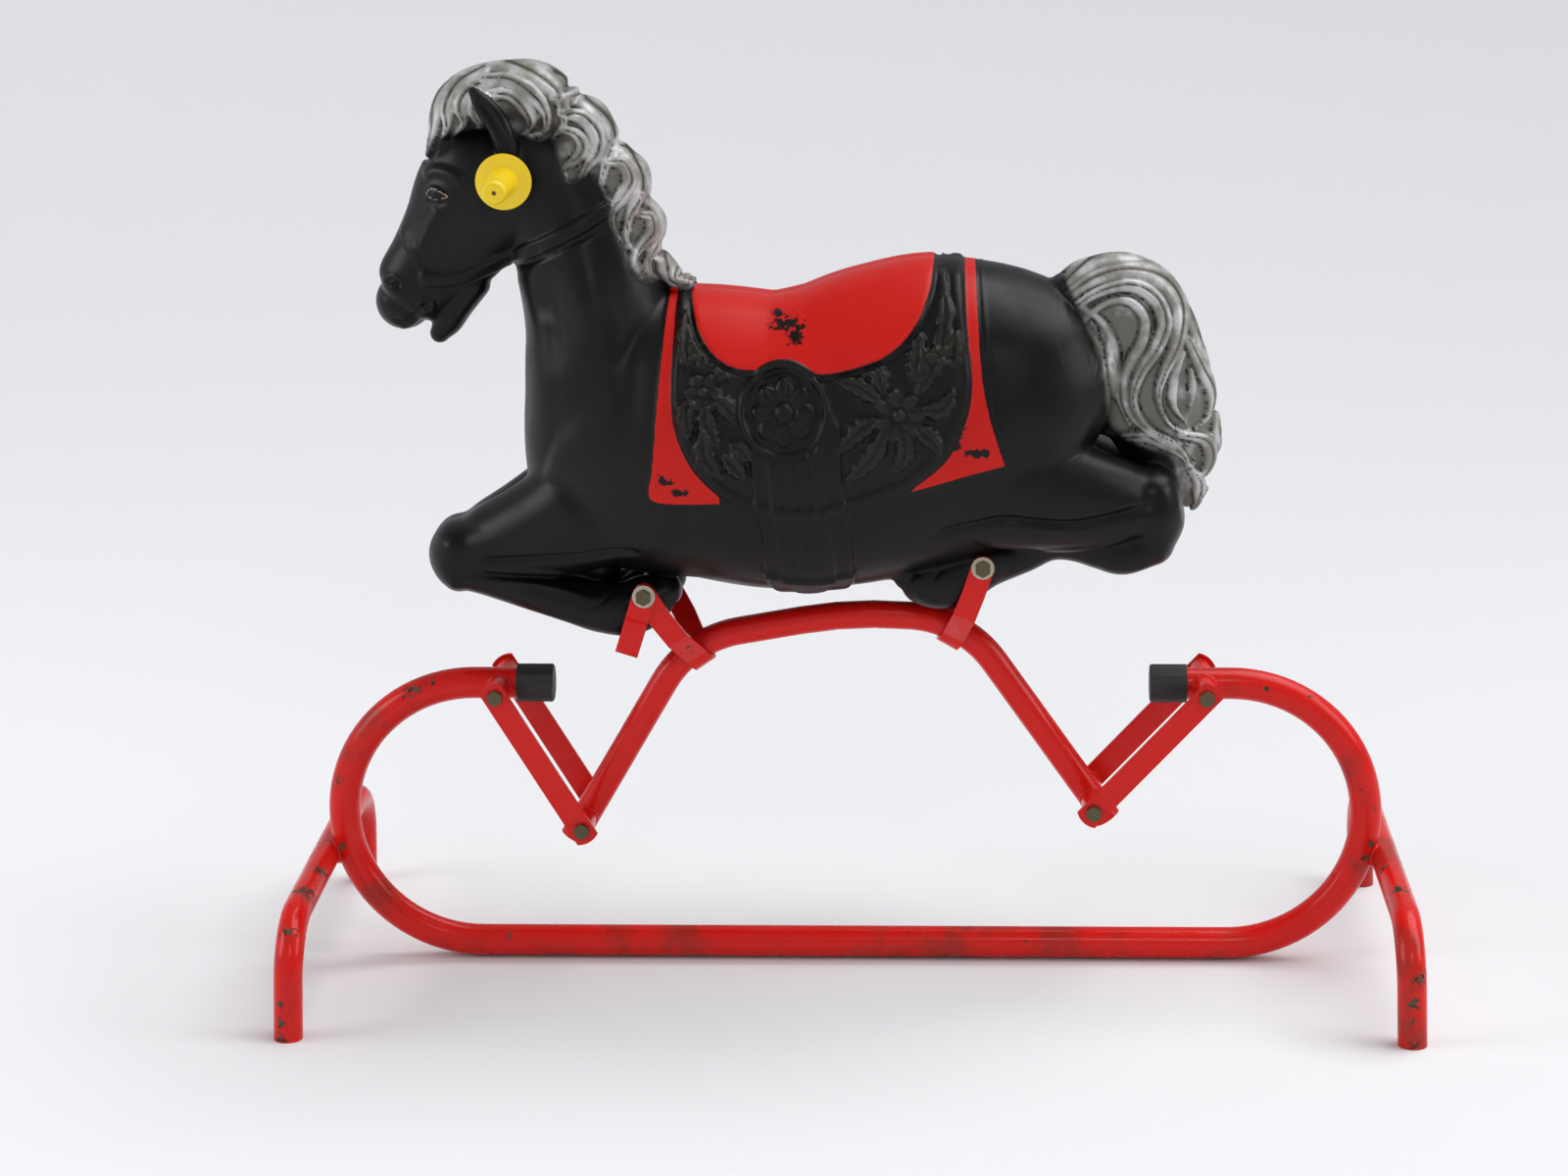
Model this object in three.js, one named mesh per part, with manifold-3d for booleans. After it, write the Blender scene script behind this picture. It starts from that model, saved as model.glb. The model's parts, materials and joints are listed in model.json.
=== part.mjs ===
// Child's glider horse: a hollow moulded horse on a swinging tube frame, hung by four flat
// links from a C-shaped floor base. Millimetres, +Z up, origin on the floor at the centre.
// The horse faces -X. Its left side is -Y.
import * as THREE from "three";
import { mergeVertices } from "three/addons/utils/BufferGeometryUtils.js";
import Module from "manifold-3d";

const wasm = await Module();
wasm.setup();

// ---- Driving dimensions ----
const GAP = 0.3;                      // clearance between touching pieces
const TUBE_SIDES = 14;
const BEND_STEP = THREE.MathUtils.degToRad(12);

const BASE_TUBE_RADIUS = 14.3;        // 1-1/8 inch tube
const LEG_TUBE_RADIUS = 12.7;         // 1 inch tube
const SWING_TUBE_RADIUS = 12.7;
const TUBE_WALL = 1.6;

const LOOP_BOTTOM_Z = 15.3;           // centreline of the bottom run, clear of the floor
const LOOP_TOP_Z = 263.5;
const LOOP_HALF_LENGTH = 466.8;       // outermost centreline of the two half-round ends
const LOOP_BEND_RADIUS = (LOOP_TOP_Z - LOOP_BOTTOM_Z) / 2;
const LOOP_MOUTH_HALF = 273;          // where the open ends of the loop stop
const CAP_LENGTH = 33;
const CAP_RADIUS = 17.6;

const FOOT_X = 488.3;
const FOOT_Y = 208;
const ARCH_LEAN = THREE.MathUtils.degToRad(2);
const ARCH_SPLAY = THREE.MathUtils.degToRad(2);
const ARCH_CENTRE_Z = 100;
const ARCH_BEND_RADIUS = 52;

const UPPER_PIVOT_X = 318;
const LINK_LENGTH = 146;              // between its two pivots
const LINK_WIDTH = 21.5;
const LINK_THICKNESS = 3;
const LINK_Y = 47.5;                  // middle of the strap's thickness
const FRONT_LINK_ANGLE = THREE.MathUtils.degToRad(30.9);
const REAR_LINK_ANGLE = THREE.MathUtils.degToRad(42.9);

const BOLT_RADIUS = 4;                // 5/16 inch
const BOLT_HEAD_RADIUS = 7.3;         // across the corners
const BOLT_HEAD_HEIGHT = 5;
const NUT_HEIGHT = 6.5;
const THREAD_PAST_NUT = 3;
const SLEEVE_RADIUS = 10;
const SLEEVE_BORE = 8.6;
const BUSH_FLANGE = 2;

const SWING_END_PAST_PIVOT = 12;
const SWING_BEND_RADIUS = 100;
const SWING_BOW_RADIUS = 380;
const SWING_FRONT_CORNER = [-146, 304.5];
const SWING_CROWN = [5, 331];
const SWING_REAR_CORNER = [103, 322.5];

const STRAP_WIDTH = 20.5;
const STRAP_THICKNESS = 3;
const HOOF_HALF_WIDTH = 55;
const MOUNT_ARM_Y = HOOF_HALF_WIDTH + GAP + STRAP_THICKNESS / 2;
const FRONT_MOUNT = [-180.7, 361];    // bolt through the fore hooves, x and z
const REAR_MOUNT = [118.9, 386];      // bolt through the hind pasterns
const FRONT_STRAP_X = -140;           // where each mount strap wraps the swing tube
const REAR_STRAP_X = 95;
const WRAP_CLEARANCE = 1.2;           // the tube is still curving under the straps
const WASHER_RADIUS = 10.2;
const WASHER_THICKNESS = 2;
const SPACER_RADIUS = 6.5;

const HANDLE = [-293.9, 729.4];
const HANDLE_ROD_RADIUS = 6;
const GRIP_START_Y = 56;              // where the grip's flange meets the cheek
const GRIP_LENGTH = 68;
const GRIP_RADIUS = 11.3;
const GRIP_FLANGE_RADIUS = 24.5;
const GRIP_FLANGE = 3.5;

const SHELL_WALL = 3.5;
const VENT_RADIUS = 4;

const frontUpper = [-UPPER_PIVOT_X, LOOP_TOP_Z];
const rearUpper = [UPPER_PIVOT_X, LOOP_TOP_Z];
const frontLower = [
  -UPPER_PIVOT_X + LINK_LENGTH * Math.sin(FRONT_LINK_ANGLE),
  LOOP_TOP_Z - LINK_LENGTH * Math.cos(FRONT_LINK_ANGLE),
];
const rearLower = [
  UPPER_PIVOT_X - LINK_LENGTH * Math.sin(REAR_LINK_ANGLE),
  LOOP_TOP_Z - LINK_LENGTH * Math.cos(REAR_LINK_ANGLE),
];

// ---- Materials ----
const redPaint = { color: 0xc4161c, roughness: 0.32, metalness: 0.1 };
const blackPlastic = { color: 0x16161a, roughness: 0.42, metalness: 0 };
const blackRubber = { color: 0x101010, roughness: 0.7, metalness: 0 };
const boltSteel = { color: 0x6d6440, roughness: 0.45, metalness: 0.9 };
const nylon = { color: 0xd8d4c4, roughness: 0.5, metalness: 0 };
const yellowPlastic = { color: 0xf2c414, roughness: 0.4, metalness: 0 };
const bareSteel = { color: 0x8c8c88, roughness: 0.4, metalness: 0.95 };

// ---- Solids ----
function toSolid(geometry) {
  const bare = geometry.clone();
  bare.deleteAttribute("normal");
  bare.deleteAttribute("uv");
  const merged = mergeVertices(bare, 1e-4);
  return new wasm.Manifold(new wasm.Mesh({
    numProp: 3,
    vertProperties: new Float32Array(merged.attributes.position.array),
    triVerts: new Uint32Array(merged.index.array),
  }));
}

function toGeometry(solid) {
  const mesh = solid.getMesh();
  const geometry = new THREE.BufferGeometry();
  geometry.setAttribute("position", new THREE.BufferAttribute(mesh.vertProperties, 3));
  geometry.setIndex(new THREE.BufferAttribute(mesh.triVerts, 1));
  geometry.computeVertexNormals();
  return geometry;
}

const cut = (solid, ...tools) => tools.reduce((rest, tool) => rest.subtract(tool), solid);
const join = (first, ...others) => others.reduce((all, other) => all.add(other), first);

// A closed skin over rings of points, each ring having the same number of points.
function skin(rings) {
  const sides = rings[0].length;
  const points = rings.flat();
  const triangles = [];
  for (let r = 0; r + 1 < rings.length; r++) {
    for (let s = 0; s < sides; s++) {
      const a = r * sides + s;
      const b = r * sides + ((s + 1) % sides);
      triangles.push(a, b, a + sides, b, b + sides, a + sides);
    }
  }
  for (let s = 1; s + 1 < sides; s++) {
    const last = (rings.length - 1) * sides;
    triangles.push(0, s + 1, s);
    triangles.push(last, last + s, last + s + 1);
  }
  const geometry = new THREE.BufferGeometry().setFromPoints(points);
  geometry.setIndex(signedVolume(points, triangles) > 0 ? triangles : triangles.reverse());
  return geometry;
}

function signedVolume(points, triangles) {
  let volume = 0;
  for (let i = 0; i < triangles.length; i += 3) {
    const [a, b, c] = [points[triangles[i]], points[triangles[i + 1]], points[triangles[i + 2]]];
    volume += a.dot(new THREE.Vector3().crossVectors(b, c)) / 6;
  }
  return volume;
}

function ring(centre, across, up, halfAcross, halfUp, sides) {
  const points = [];
  for (let s = 0; s < sides; s++) {
    const angle = (s / sides) * 2 * Math.PI;
    points.push(centre.clone()
      .addScaledVector(across, halfAcross * Math.cos(angle))
      .addScaledVector(up, halfUp * Math.sin(angle)));
  }
  return points;
}

// Straight runs between corners, with each inner corner rounded to its own bend radius.
function bentPath(corners, radii) {
  const path = [corners[0].clone()];
  for (let c = 1; c + 1 < corners.length; c++) {
    const into = corners[c].clone().sub(corners[c - 1]).normalize();
    const out = corners[c + 1].clone().sub(corners[c]).normalize();
    const turn = into.angleTo(out);
    const reach = radii[c - 1] * Math.tan(turn / 2);
    const start = corners[c].clone().addScaledVector(into, -reach);
    const side = out.clone().addScaledVector(into, -out.dot(into)).normalize();
    const steps = Math.max(3, Math.ceil(turn / BEND_STEP));
    for (let s = 0; s <= steps; s++) {
      const angle = (turn * s) / steps;
      path.push(start.clone()
        .addScaledVector(into, radii[c - 1] * Math.sin(angle))
        .addScaledVector(side, radii[c - 1] * (1 - Math.cos(angle))));
    }
  }
  path.push(corners.at(-1).clone());
  return path.filter((point, i) => i === 0 || point.distanceTo(path[i - 1]) > 0.01);
}

function tangents(path) {
  return path.map((point, i) => {
    const before = path[Math.max(0, i - 1)];
    const after = path[Math.min(path.length - 1, i + 1)];
    return after.clone().sub(before).normalize();
  });
}

// A solid round bar along a path that lies in one plane.
function bar(path, planeNormal, radius, sides = TUBE_SIDES) {
  const along = tangents(path);
  return toSolid(skin(path.map((point, i) => {
    const across = new THREE.Vector3().crossVectors(along[i], planeNormal).normalize();
    return ring(point, across, planeNormal, radius, radius, sides);
  })));
}

function extended(path, length) {
  const along = tangents(path);
  const longer = path.map((point) => point.clone());
  longer[0].addScaledVector(along[0], -length);
  longer.at(-1).addScaledVector(along.at(-1), length);
  return longer;
}

function hollowTube(path, planeNormal, radius) {
  const bore = bar(extended(path, 1), planeNormal, radius - TUBE_WALL, TUBE_SIDES / 2);
  return cut(bar(path, planeNormal, radius), bore);
}

// A flat strap: its width direction is given at every point of its path.
function ribbon(path, widths, width, thickness) {
  const along = tangents(path);
  return toSolid(skin(path.map((point, i) => {
    const wide = widths[i].clone().addScaledVector(along[i], -widths[i].dot(along[i])).normalize();
    const thick = new THREE.Vector3().crossVectors(along[i], wide);
    const corner = (w, t) => point.clone()
      .addScaledVector(wide, (w * width) / 2)
      .addScaledVector(thick, (t * thickness) / 2);
    return [corner(-1, -1), corner(1, -1), corner(1, 1), corner(-1, 1)];
  })));
}

// A cylinder whose axis runs along Y, between two Y values, through the place [x, z].
function crossBar([x, z], radius, yStart, yEnd, sides = TUBE_SIDES) {
  const geometry = new THREE.CylinderGeometry(radius, radius, yEnd - yStart, sides);
  geometry.translate(x, (yStart + yEnd) / 2, z);
  return toSolid(geometry);
}

function flatPoint([x, z], y = 0) {
  return new THREE.Vector3(x, y, z);
}

const sideways = new THREE.Vector3(0, 1, 0);
const horse = new THREE.Group();

function piece(name, shape, material, place) {
  const geometry = shape.isBufferGeometry ? shape : toGeometry(shape);
  const mesh = new THREE.Mesh(geometry, new THREE.MeshStandardMaterial(material));
  mesh.name = name;
  if (place) {
    mesh.position.copy(place);
  }
  horse.add(mesh);
  return mesh;
}

// ---- Floor base: C-loop, two leg arches, caps, pivot sleeves ----
const loopPath = bentPath([
  flatPoint([-LOOP_MOUTH_HALF, LOOP_TOP_Z]),
  flatPoint([-LOOP_HALF_LENGTH, LOOP_TOP_Z]),
  flatPoint([-LOOP_HALF_LENGTH, LOOP_BOTTOM_Z]),
  flatPoint([LOOP_HALF_LENGTH, LOOP_BOTTOM_Z]),
  flatPoint([LOOP_HALF_LENGTH, LOOP_TOP_Z]),
  flatPoint([LOOP_MOUTH_HALF, LOOP_TOP_Z]),
], Array(4).fill(LOOP_BEND_RADIUS));

const sleeveHole = (pivot) => crossBar(pivot, SLEEVE_RADIUS + GAP, -40, 40);

piece("base_loop_tube", cut(
  hollowTube(loopPath, sideways, BASE_TUBE_RADIUS),
  sleeveHole(frontUpper),
  sleeveHole(rearUpper),
), redPaint);

// The crossbar of each arch is notched to sit against the outside of the loop.
function legArch(end) {
  const lean = new THREE.Vector3(-end * Math.sin(ARCH_LEAN), 0, Math.cos(ARCH_LEAN));
  const normal = new THREE.Vector3().crossVectors(sideways, lean);
  const rise = ARCH_CENTRE_Z / Math.cos(ARCH_LEAN);
  const place = (y, up) => new THREE.Vector3(end * FOOT_X, y, 0).addScaledVector(lean, up);
  const below = -6;
  const splayed = (up) => FOOT_Y - up * Math.tan(ARCH_SPLAY);
  const path = bentPath([
    place(-splayed(below), below),
    place(-splayed(rise), rise),
    place(splayed(rise), rise),
    place(splayed(below), below),
  ], [ARCH_BEND_RADIUS, ARCH_BEND_RADIUS]);
  const floorBlock = new THREE.BoxGeometry(100, 3 * FOOT_Y, 40);
  floorBlock.translate(end * FOOT_X, 0, -20);
  const loopNotch = bar(loopPath, sideways, BASE_TUBE_RADIUS + GAP);
  return cut(hollowTube(path, normal, LEG_TUBE_RADIUS), toSolid(floorBlock), loopNotch);
}
piece("front_leg_arch", legArch(-1), redPaint);
piece("rear_leg_arch", legArch(1), redPaint);

// Cup-shaped cap over an open end of the loop.
function bumperCap() {
  const inner = BASE_TUBE_RADIUS + GAP;
  const floor = 3;
  const edge = 1.5;
  const profile = [
    [0, 0], [CAP_RADIUS - edge, 0], [CAP_RADIUS, edge], [CAP_RADIUS, CAP_LENGTH],
    [inner, CAP_LENGTH], [inner, floor], [0, floor],
  ];
  return new THREE.LatheGeometry(profile.map(([r, y]) => new THREE.Vector2(r, y)), TUBE_SIDES);
}
const capStart = LOOP_MOUTH_HALF - 3 - GAP;
piece("front_bumper_cap", toSolid(bumperCap().rotateZ(Math.PI / 2)), blackRubber,
  flatPoint([-capStart, LOOP_TOP_Z]));
piece("rear_bumper_cap", toSolid(bumperCap().rotateZ(-Math.PI / 2)), blackRubber,
  flatPoint([capStart, LOOP_TOP_Z]));

const linkInner = LINK_Y - LINK_THICKNESS / 2;
const linkOuter = LINK_Y + LINK_THICKNESS / 2;
const sleeveEnd = linkInner - BUSH_FLANGE - 2 * GAP;
const sleeve = (pivot) => cut(
  crossBar(pivot, SLEEVE_RADIUS, -sleeveEnd, sleeveEnd),
  crossBar(pivot, SLEEVE_BORE, -sleeveEnd - 1, sleeveEnd + 1),
);
piece("front_base_sleeve", sleeve(frontUpper), redPaint);
piece("rear_base_sleeve", sleeve(rearUpper), redPaint);

// ---- Links ----
// A strap hanging down from its upper pivot, its ends cut to a shallow arc.
function linkStrap() {
  const half = LINK_WIDTH / 2;
  const endRadius = 20;
  const endPastPivot = 13;
  const spread = Math.asin(half / endRadius);
  const arcCentre = endPastPivot - endRadius;
  const outline = new THREE.Shape();
  outline.absarc(0, arcCentre, endRadius, Math.PI / 2 - spread, Math.PI / 2 + spread);
  outline.absarc(0, -LINK_LENGTH - arcCentre, endRadius,
    1.5 * Math.PI - spread, 1.5 * Math.PI + spread);
  for (const y of [0, -LINK_LENGTH]) {
    const hole = new THREE.Path();
    hole.absarc(0, y, BOLT_RADIUS + GAP, 0, 2 * Math.PI, true);
    outline.holes.push(hole);
  }
  const strap = new THREE.ExtrudeGeometry(outline, {
    depth: LINK_THICKNESS, bevelEnabled: false, curveSegments: 5,
  });
  strap.translate(0, 0, -LINK_THICKNESS / 2);
  return toSolid(strap.rotateX(Math.PI / 2));
}
for (const [end, pivot, swing] of [
  ["front", frontUpper, -FRONT_LINK_ANGLE],
  ["rear", rearUpper, REAR_LINK_ANGLE],
]) {
  for (const [side, y] of [["left", -LINK_Y], ["right", LINK_Y]]) {
    piece(`${end}_link_${side}`, linkStrap(), redPaint, flatPoint(pivot, y)).rotation.y = swing;
  }
}

// ---- Fasteners ----
// Head on the -Y side, nut on the +Y side, both outside `halfGrip`.
function bolt(halfGrip) {
  const headFace = -halfGrip - GAP;
  const shankEnd = halfGrip + GAP + NUT_HEIGHT + THREAD_PAST_NUT;
  return join(
    crossBar([0, 0], BOLT_HEAD_RADIUS, headFace - BOLT_HEAD_HEIGHT, headFace, 6),
    crossBar([0, 0], BOLT_RADIUS, headFace - 1, shankEnd, 12),
  );
}
function nut(halfGrip) {
  const start = halfGrip + GAP;
  return cut(
    crossBar([0, 0], BOLT_HEAD_RADIUS, start, start + NUT_HEIGHT, 6),
    crossBar([0, 0], BOLT_RADIUS + GAP, start - 1, start + NUT_HEIGHT + 1, 12),
  );
}

// Flanged bush: the flange bears on the strap, the barrel sits inside the sleeve.
function bush(bore, barrelRadius) {
  const flangeRadius = SLEEVE_RADIUS - 0.5;
  const profile = [
    [bore, 0], [flangeRadius, 0], [flangeRadius, BUSH_FLANGE], [barrelRadius, BUSH_FLANGE],
    [barrelRadius, 14], [bore, 14], [bore, 0],
  ];
  return toSolid(new THREE.LatheGeometry(
    profile.map(([r, y]) => new THREE.Vector2(r, y)), 12));
}

// Bore and barrel radius. The rear lower bush has a thin barrel that runs loose in its sleeve.
const fittedBush = [BOLT_RADIUS + 2 * GAP, SLEEVE_BORE - 2 * GAP];
const looseBush = [BOLT_RADIUS + GAP, BOLT_RADIUS + GAP + 0.5];
const pivots = {
  front_upper: [frontUpper, fittedBush],
  rear_upper: [rearUpper, fittedBush],
  front_lower: [frontLower, fittedBush],
  rear_lower: [rearLower, looseBush],
};
for (const [name, [pivot, bushRadii]] of Object.entries(pivots)) {
  piece(`${name}_bolt`, bolt(linkOuter), boltSteel, flatPoint(pivot));
  piece(`${name}_nut`, nut(linkOuter), boltSteel, flatPoint(pivot));
  const flangeFace = linkInner - GAP;
  piece(`${name}_bush_left`, bush(...bushRadii), nylon, flatPoint(pivot, -flangeFace));
  piece(`${name}_bush_right`, bush(...bushRadii), nylon, flatPoint(pivot, flangeFace))
    .rotation.x = Math.PI;
}

// ---- Swing frame ----
function pastPivot(pivot, corner) {
  const away = flatPoint(pivot).sub(flatPoint(corner)).normalize();
  return flatPoint(pivot).addScaledVector(away, SWING_END_PAST_PIVOT);
}
const swingPath = bentPath([
  pastPivot(frontLower, SWING_FRONT_CORNER),
  flatPoint(SWING_FRONT_CORNER),
  flatPoint(SWING_CROWN),
  flatPoint(SWING_REAR_CORNER),
  pastPivot(rearLower, SWING_REAR_CORNER),
], [SWING_BEND_RADIUS, SWING_BOW_RADIUS, SWING_BEND_RADIUS]);
piece("swing_frame_tube", cut(
  hollowTube(swingPath, sideways, SWING_TUBE_RADIUS),
  sleeveHole(frontLower),
  sleeveHole(rearLower),
), redPaint);
piece("front_swing_sleeve", sleeve(frontLower), redPaint);
piece("rear_swing_sleeve", sleeve(rearLower), redPaint);

// Round ends of a strap whose two arms meet a bolt at `place`, `armY` out from the middle.
function strapEnds(place, armY) {
  const near = armY - STRAP_THICKNESS / 2;
  const far = armY + STRAP_THICKNESS / 2;
  return [
    crossBar(place, STRAP_WIDTH / 2, -far, -near, 16),
    crossBar(place, STRAP_WIDTH / 2, near, far, 16),
  ];
}

// U-strap: wraps under the swing tube at `seatX` and rises to the mount bolt on both sides.
function mountStrap(seatX, mount) {
  const after = swingPath.findIndex((point) => point.x > seatX);
  const tubeWay = swingPath[after].clone().sub(swingPath[after - 1]);
  const share = (seatX - swingPath[after - 1].x) / tubeWay.x;
  const seat = swingPath[after - 1].clone().addScaledVector(tubeWay, share);
  tubeWay.normalize();
  const down = new THREE.Vector3().crossVectors(tubeWay, sideways).negate();
  const armWay = flatPoint(mount).sub(seat).normalize();
  const armWide = new THREE.Vector3().crossVectors(sideways, armWay);
  const wrap = SWING_TUBE_RADIUS + WRAP_CLEARANCE + STRAP_THICKNESS / 2;
  const half = [];
  const halfWidths = [];
  for (let s = 0; s <= 4; s++) {
    const angle = (s / 4) * THREE.MathUtils.degToRad(75);
    half.push(seat.clone()
      .addScaledVector(down, wrap * Math.cos(angle))
      .addScaledVector(sideways, -wrap * Math.sin(angle)));
    halfWidths.push(tubeWay);
  }
  half.push(seat.clone().addScaledVector(sideways, -MOUNT_ARM_Y * 0.8).addScaledVector(armWay, 24));
  half.push(flatPoint(mount, -MOUNT_ARM_Y).addScaledVector(armWay, -26));
  half.push(flatPoint(mount, -MOUNT_ARM_Y));
  halfWidths.push(armWide.clone().lerp(tubeWay, 0.4).normalize(), armWide, armWide);
  const mirrored = half.slice(1).map((point) => point.clone().multiply(new THREE.Vector3(1, -1, 1)));
  const strap = ribbon([...half.toReversed(), ...mirrored],
    [...halfWidths.toReversed(), ...halfWidths.slice(1)], STRAP_WIDTH, STRAP_THICKNESS);
  return cut(
    join(strap, ...strapEnds(mount, MOUNT_ARM_Y)),
    crossBar(mount, BOLT_RADIUS + GAP, -80, 80, 12),
    bar(swingPath, sideways, SWING_TUBE_RADIUS + GAP),
  );
}
piece("front_mount_strap", mountStrap(FRONT_STRAP_X, FRONT_MOUNT), redPaint);
piece("rear_mount_strap", mountStrap(REAR_STRAP_X, REAR_MOUNT), redPaint);

// Stirrup strap under the fore hooves, outside the mount strap on the same bolt.
const hoofArmY = MOUNT_ARM_Y + STRAP_THICKNESS + GAP;
function hoofStrap() {
  const wayDown = new THREE.Vector3(-0.3, 0, -0.954).normalize();
  const wide = new THREE.Vector3().crossVectors(sideways, wayDown);
  const from = (y, down) => flatPoint(FRONT_MOUNT, y).addScaledVector(wayDown, down);
  const tuck = 5;
  const half = [
    from(-hoofArmY, 0), from(-hoofArmY, 22), from(-hoofArmY + tuck, 27),
    from(-hoofArmY + tuck, 54), from(-hoofArmY + tuck + 4, 58),
  ];
  const mirrored = half.toReversed()
    .map((point) => point.clone().multiply(new THREE.Vector3(1, -1, 1)));
  const path = [...half, ...mirrored];
  const strap = ribbon(path, path.map(() => wide), STRAP_WIDTH, STRAP_THICKNESS);
  return cut(
    join(strap, ...strapEnds(FRONT_MOUNT, hoofArmY)),
    crossBar(FRONT_MOUNT, BOLT_RADIUS + GAP, -80, 80, 12),
  );
}
piece("front_hoof_strap", hoofStrap(), redPaint);

// ---- Bolts that hold the horse ----
const frontGrip = hoofArmY + STRAP_THICKNESS / 2 + GAP + WASHER_THICKNESS;
const rearGrip = MOUNT_ARM_Y + STRAP_THICKNESS / 2 + GAP + WASHER_THICKNESS;
for (const [end, mount, halfGrip] of [
  ["front", FRONT_MOUNT, frontGrip],
  ["rear", REAR_MOUNT, rearGrip],
]) {
  piece(`${end}_mount_bolt`, bolt(halfGrip), boltSteel, flatPoint(mount));
  piece(`${end}_mount_nut`, nut(halfGrip), boltSteel, flatPoint(mount));
  const washer = (yStart) => cut(
    crossBar([0, 0], WASHER_RADIUS, yStart, yStart + WASHER_THICKNESS),
    crossBar([0, 0], BOLT_RADIUS + GAP, yStart - 1, yStart + WASHER_THICKNESS + 1, 12),
  );
  piece(`${end}_mount_washer_left`, washer(-halfGrip), nylon, flatPoint(mount));
  piece(`${end}_mount_washer_right`, washer(halfGrip - WASHER_THICKNESS), nylon, flatPoint(mount));
  const spacerEnd = HOOF_HALF_WIDTH - 1;
  piece(`${end}_mount_spacer`, cut(
    crossBar([0, 0], SPACER_RADIUS, -spacerEnd, spacerEnd),
    crossBar([0, 0], BOLT_RADIUS + GAP, -spacerEnd - 1, spacerEnd + 1, 12),
  ), bareSteel, flatPoint(mount));
}

// ---- Handle ----
const rodEnd = GRIP_START_Y + GRIP_LENGTH - 8;
piece("handle_rod", crossBar(HANDLE, HANDLE_ROD_RADIUS, -rodEnd, rodEnd), bareSteel);

function grip() {
  const bore = HANDLE_ROD_RADIUS + GAP;
  const endHole = 2;
  const lip = 1.2;
  const profile = [
    [bore, 0], [GRIP_FLANGE_RADIUS, 0], [GRIP_FLANGE_RADIUS, GRIP_FLANGE],
    [GRIP_RADIUS + lip, GRIP_FLANGE], [GRIP_RADIUS, GRIP_FLANGE + 3],
    [GRIP_RADIUS - 0.4, GRIP_LENGTH - 2], [GRIP_RADIUS - 2, GRIP_LENGTH],
    [endHole, GRIP_LENGTH], [endHole, GRIP_LENGTH - 7], [bore, GRIP_LENGTH - 7], [bore, 0],
  ];
  return toSolid(new THREE.LatheGeometry(
    profile.map(([r, y]) => new THREE.Vector2(r, y)), TUBE_SIDES));
}
piece("right_grip", grip(), yellowPlastic, flatPoint(HANDLE, GRIP_START_Y));
piece("left_grip", grip(), yellowPlastic, flatPoint(HANDLE, -GRIP_START_Y))
  .rotation.x = Math.PI;

// ---- Horse shell ----
// Every part is a row of ovals across its spine: x, z, half depth, half width.
const TORSO = [
  [-289, 520, 45, 28], [-272, 510, 98, 66], [-225, 500, 128, 92], [-150, 492, 133, 100],
  [-60, 487, 130, 104], [20, 496, 136, 107], [90, 520, 131, 108], [150, 528, 113, 103],
  [200, 527, 88, 86], [228, 520, 58, 58], [240, 516, 28, 26],
];
const NECK = [
  [-214, 545, 72, 84], [-222, 600, 66, 74], [-232, 650, 60, 62], [-252, 700, 58, 52],
  [-285, 745, 52, 44], [-310, 770, 40, 36],
];
const HEAD = [
  [-262, 752, 40, 36], [-290, 735, 62, 48], [-318, 706, 58, 50], [-345, 672, 46, 42],
  [-368, 643, 42, 34], [-386, 620, 36, 31], [-396, 606, 22, 22],
];
const MANE = [
  [-366, 748, 9, 26], [-348, 778, 22, 38], [-318, 794, 28, 42], [-276, 796, 29, 42],
  [-238, 768, 28, 40], [-212, 732, 26, 38], [-192, 694, 24, 36], [-172, 655, 20, 32],
  [-154, 628, 9, 20],
];
const TAIL = [
  [198, 600, 14, 28], [222, 628, 20, 36], [252, 632, 22, 38], [268, 600, 27, 38],
  [275, 556, 41, 38], [279, 510, 45, 38], [288, 468, 33, 34], [304, 430, 10, 14],
];
const FORE_LEG = [
  [-215, 455, 84, 40, 46], [-270, 424, 64, 34, 40], [-322, 398, 40, 28, 35],
  [-352, 387, 34, 24, 33], [-372, 381, 20, 16, 33],
];
const FORE_FOOT = [
  [-364, 373, 16, 17, 33], [-330, 364, 21, 22, 31], [-285, 351, 24, 22, 29],
  [-240, 340, 26, 24, 26], [-205, 341, 26, 24, 24], [-176, 353, 24, 24, 24],
  [-152, 366, 14, 18, 24],
];
const HIND_LEG = [
  [90, 470, 60, 40, 60], [150, 455, 62, 42, 58], [210, 443, 50, 36, 50],
  [262, 424, 40, 29, 42], [290, 414, 22, 16, 38],
];
const HIND_FOOT = [
  [280, 408, 20, 18, 38], [240, 396, 23, 22, 36], [190, 393, 20, 20, 34],
  [145, 386, 23, 23, 30], [108, 372, 31, 24, 24], [72, 366, 26, 22, 24], [50, 368, 12, 14, 24],
];
const TRUNK_SIDES = 14;
const LIMB_SIDES = 10;
const HOLLOW_SIDES = 6;

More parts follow.
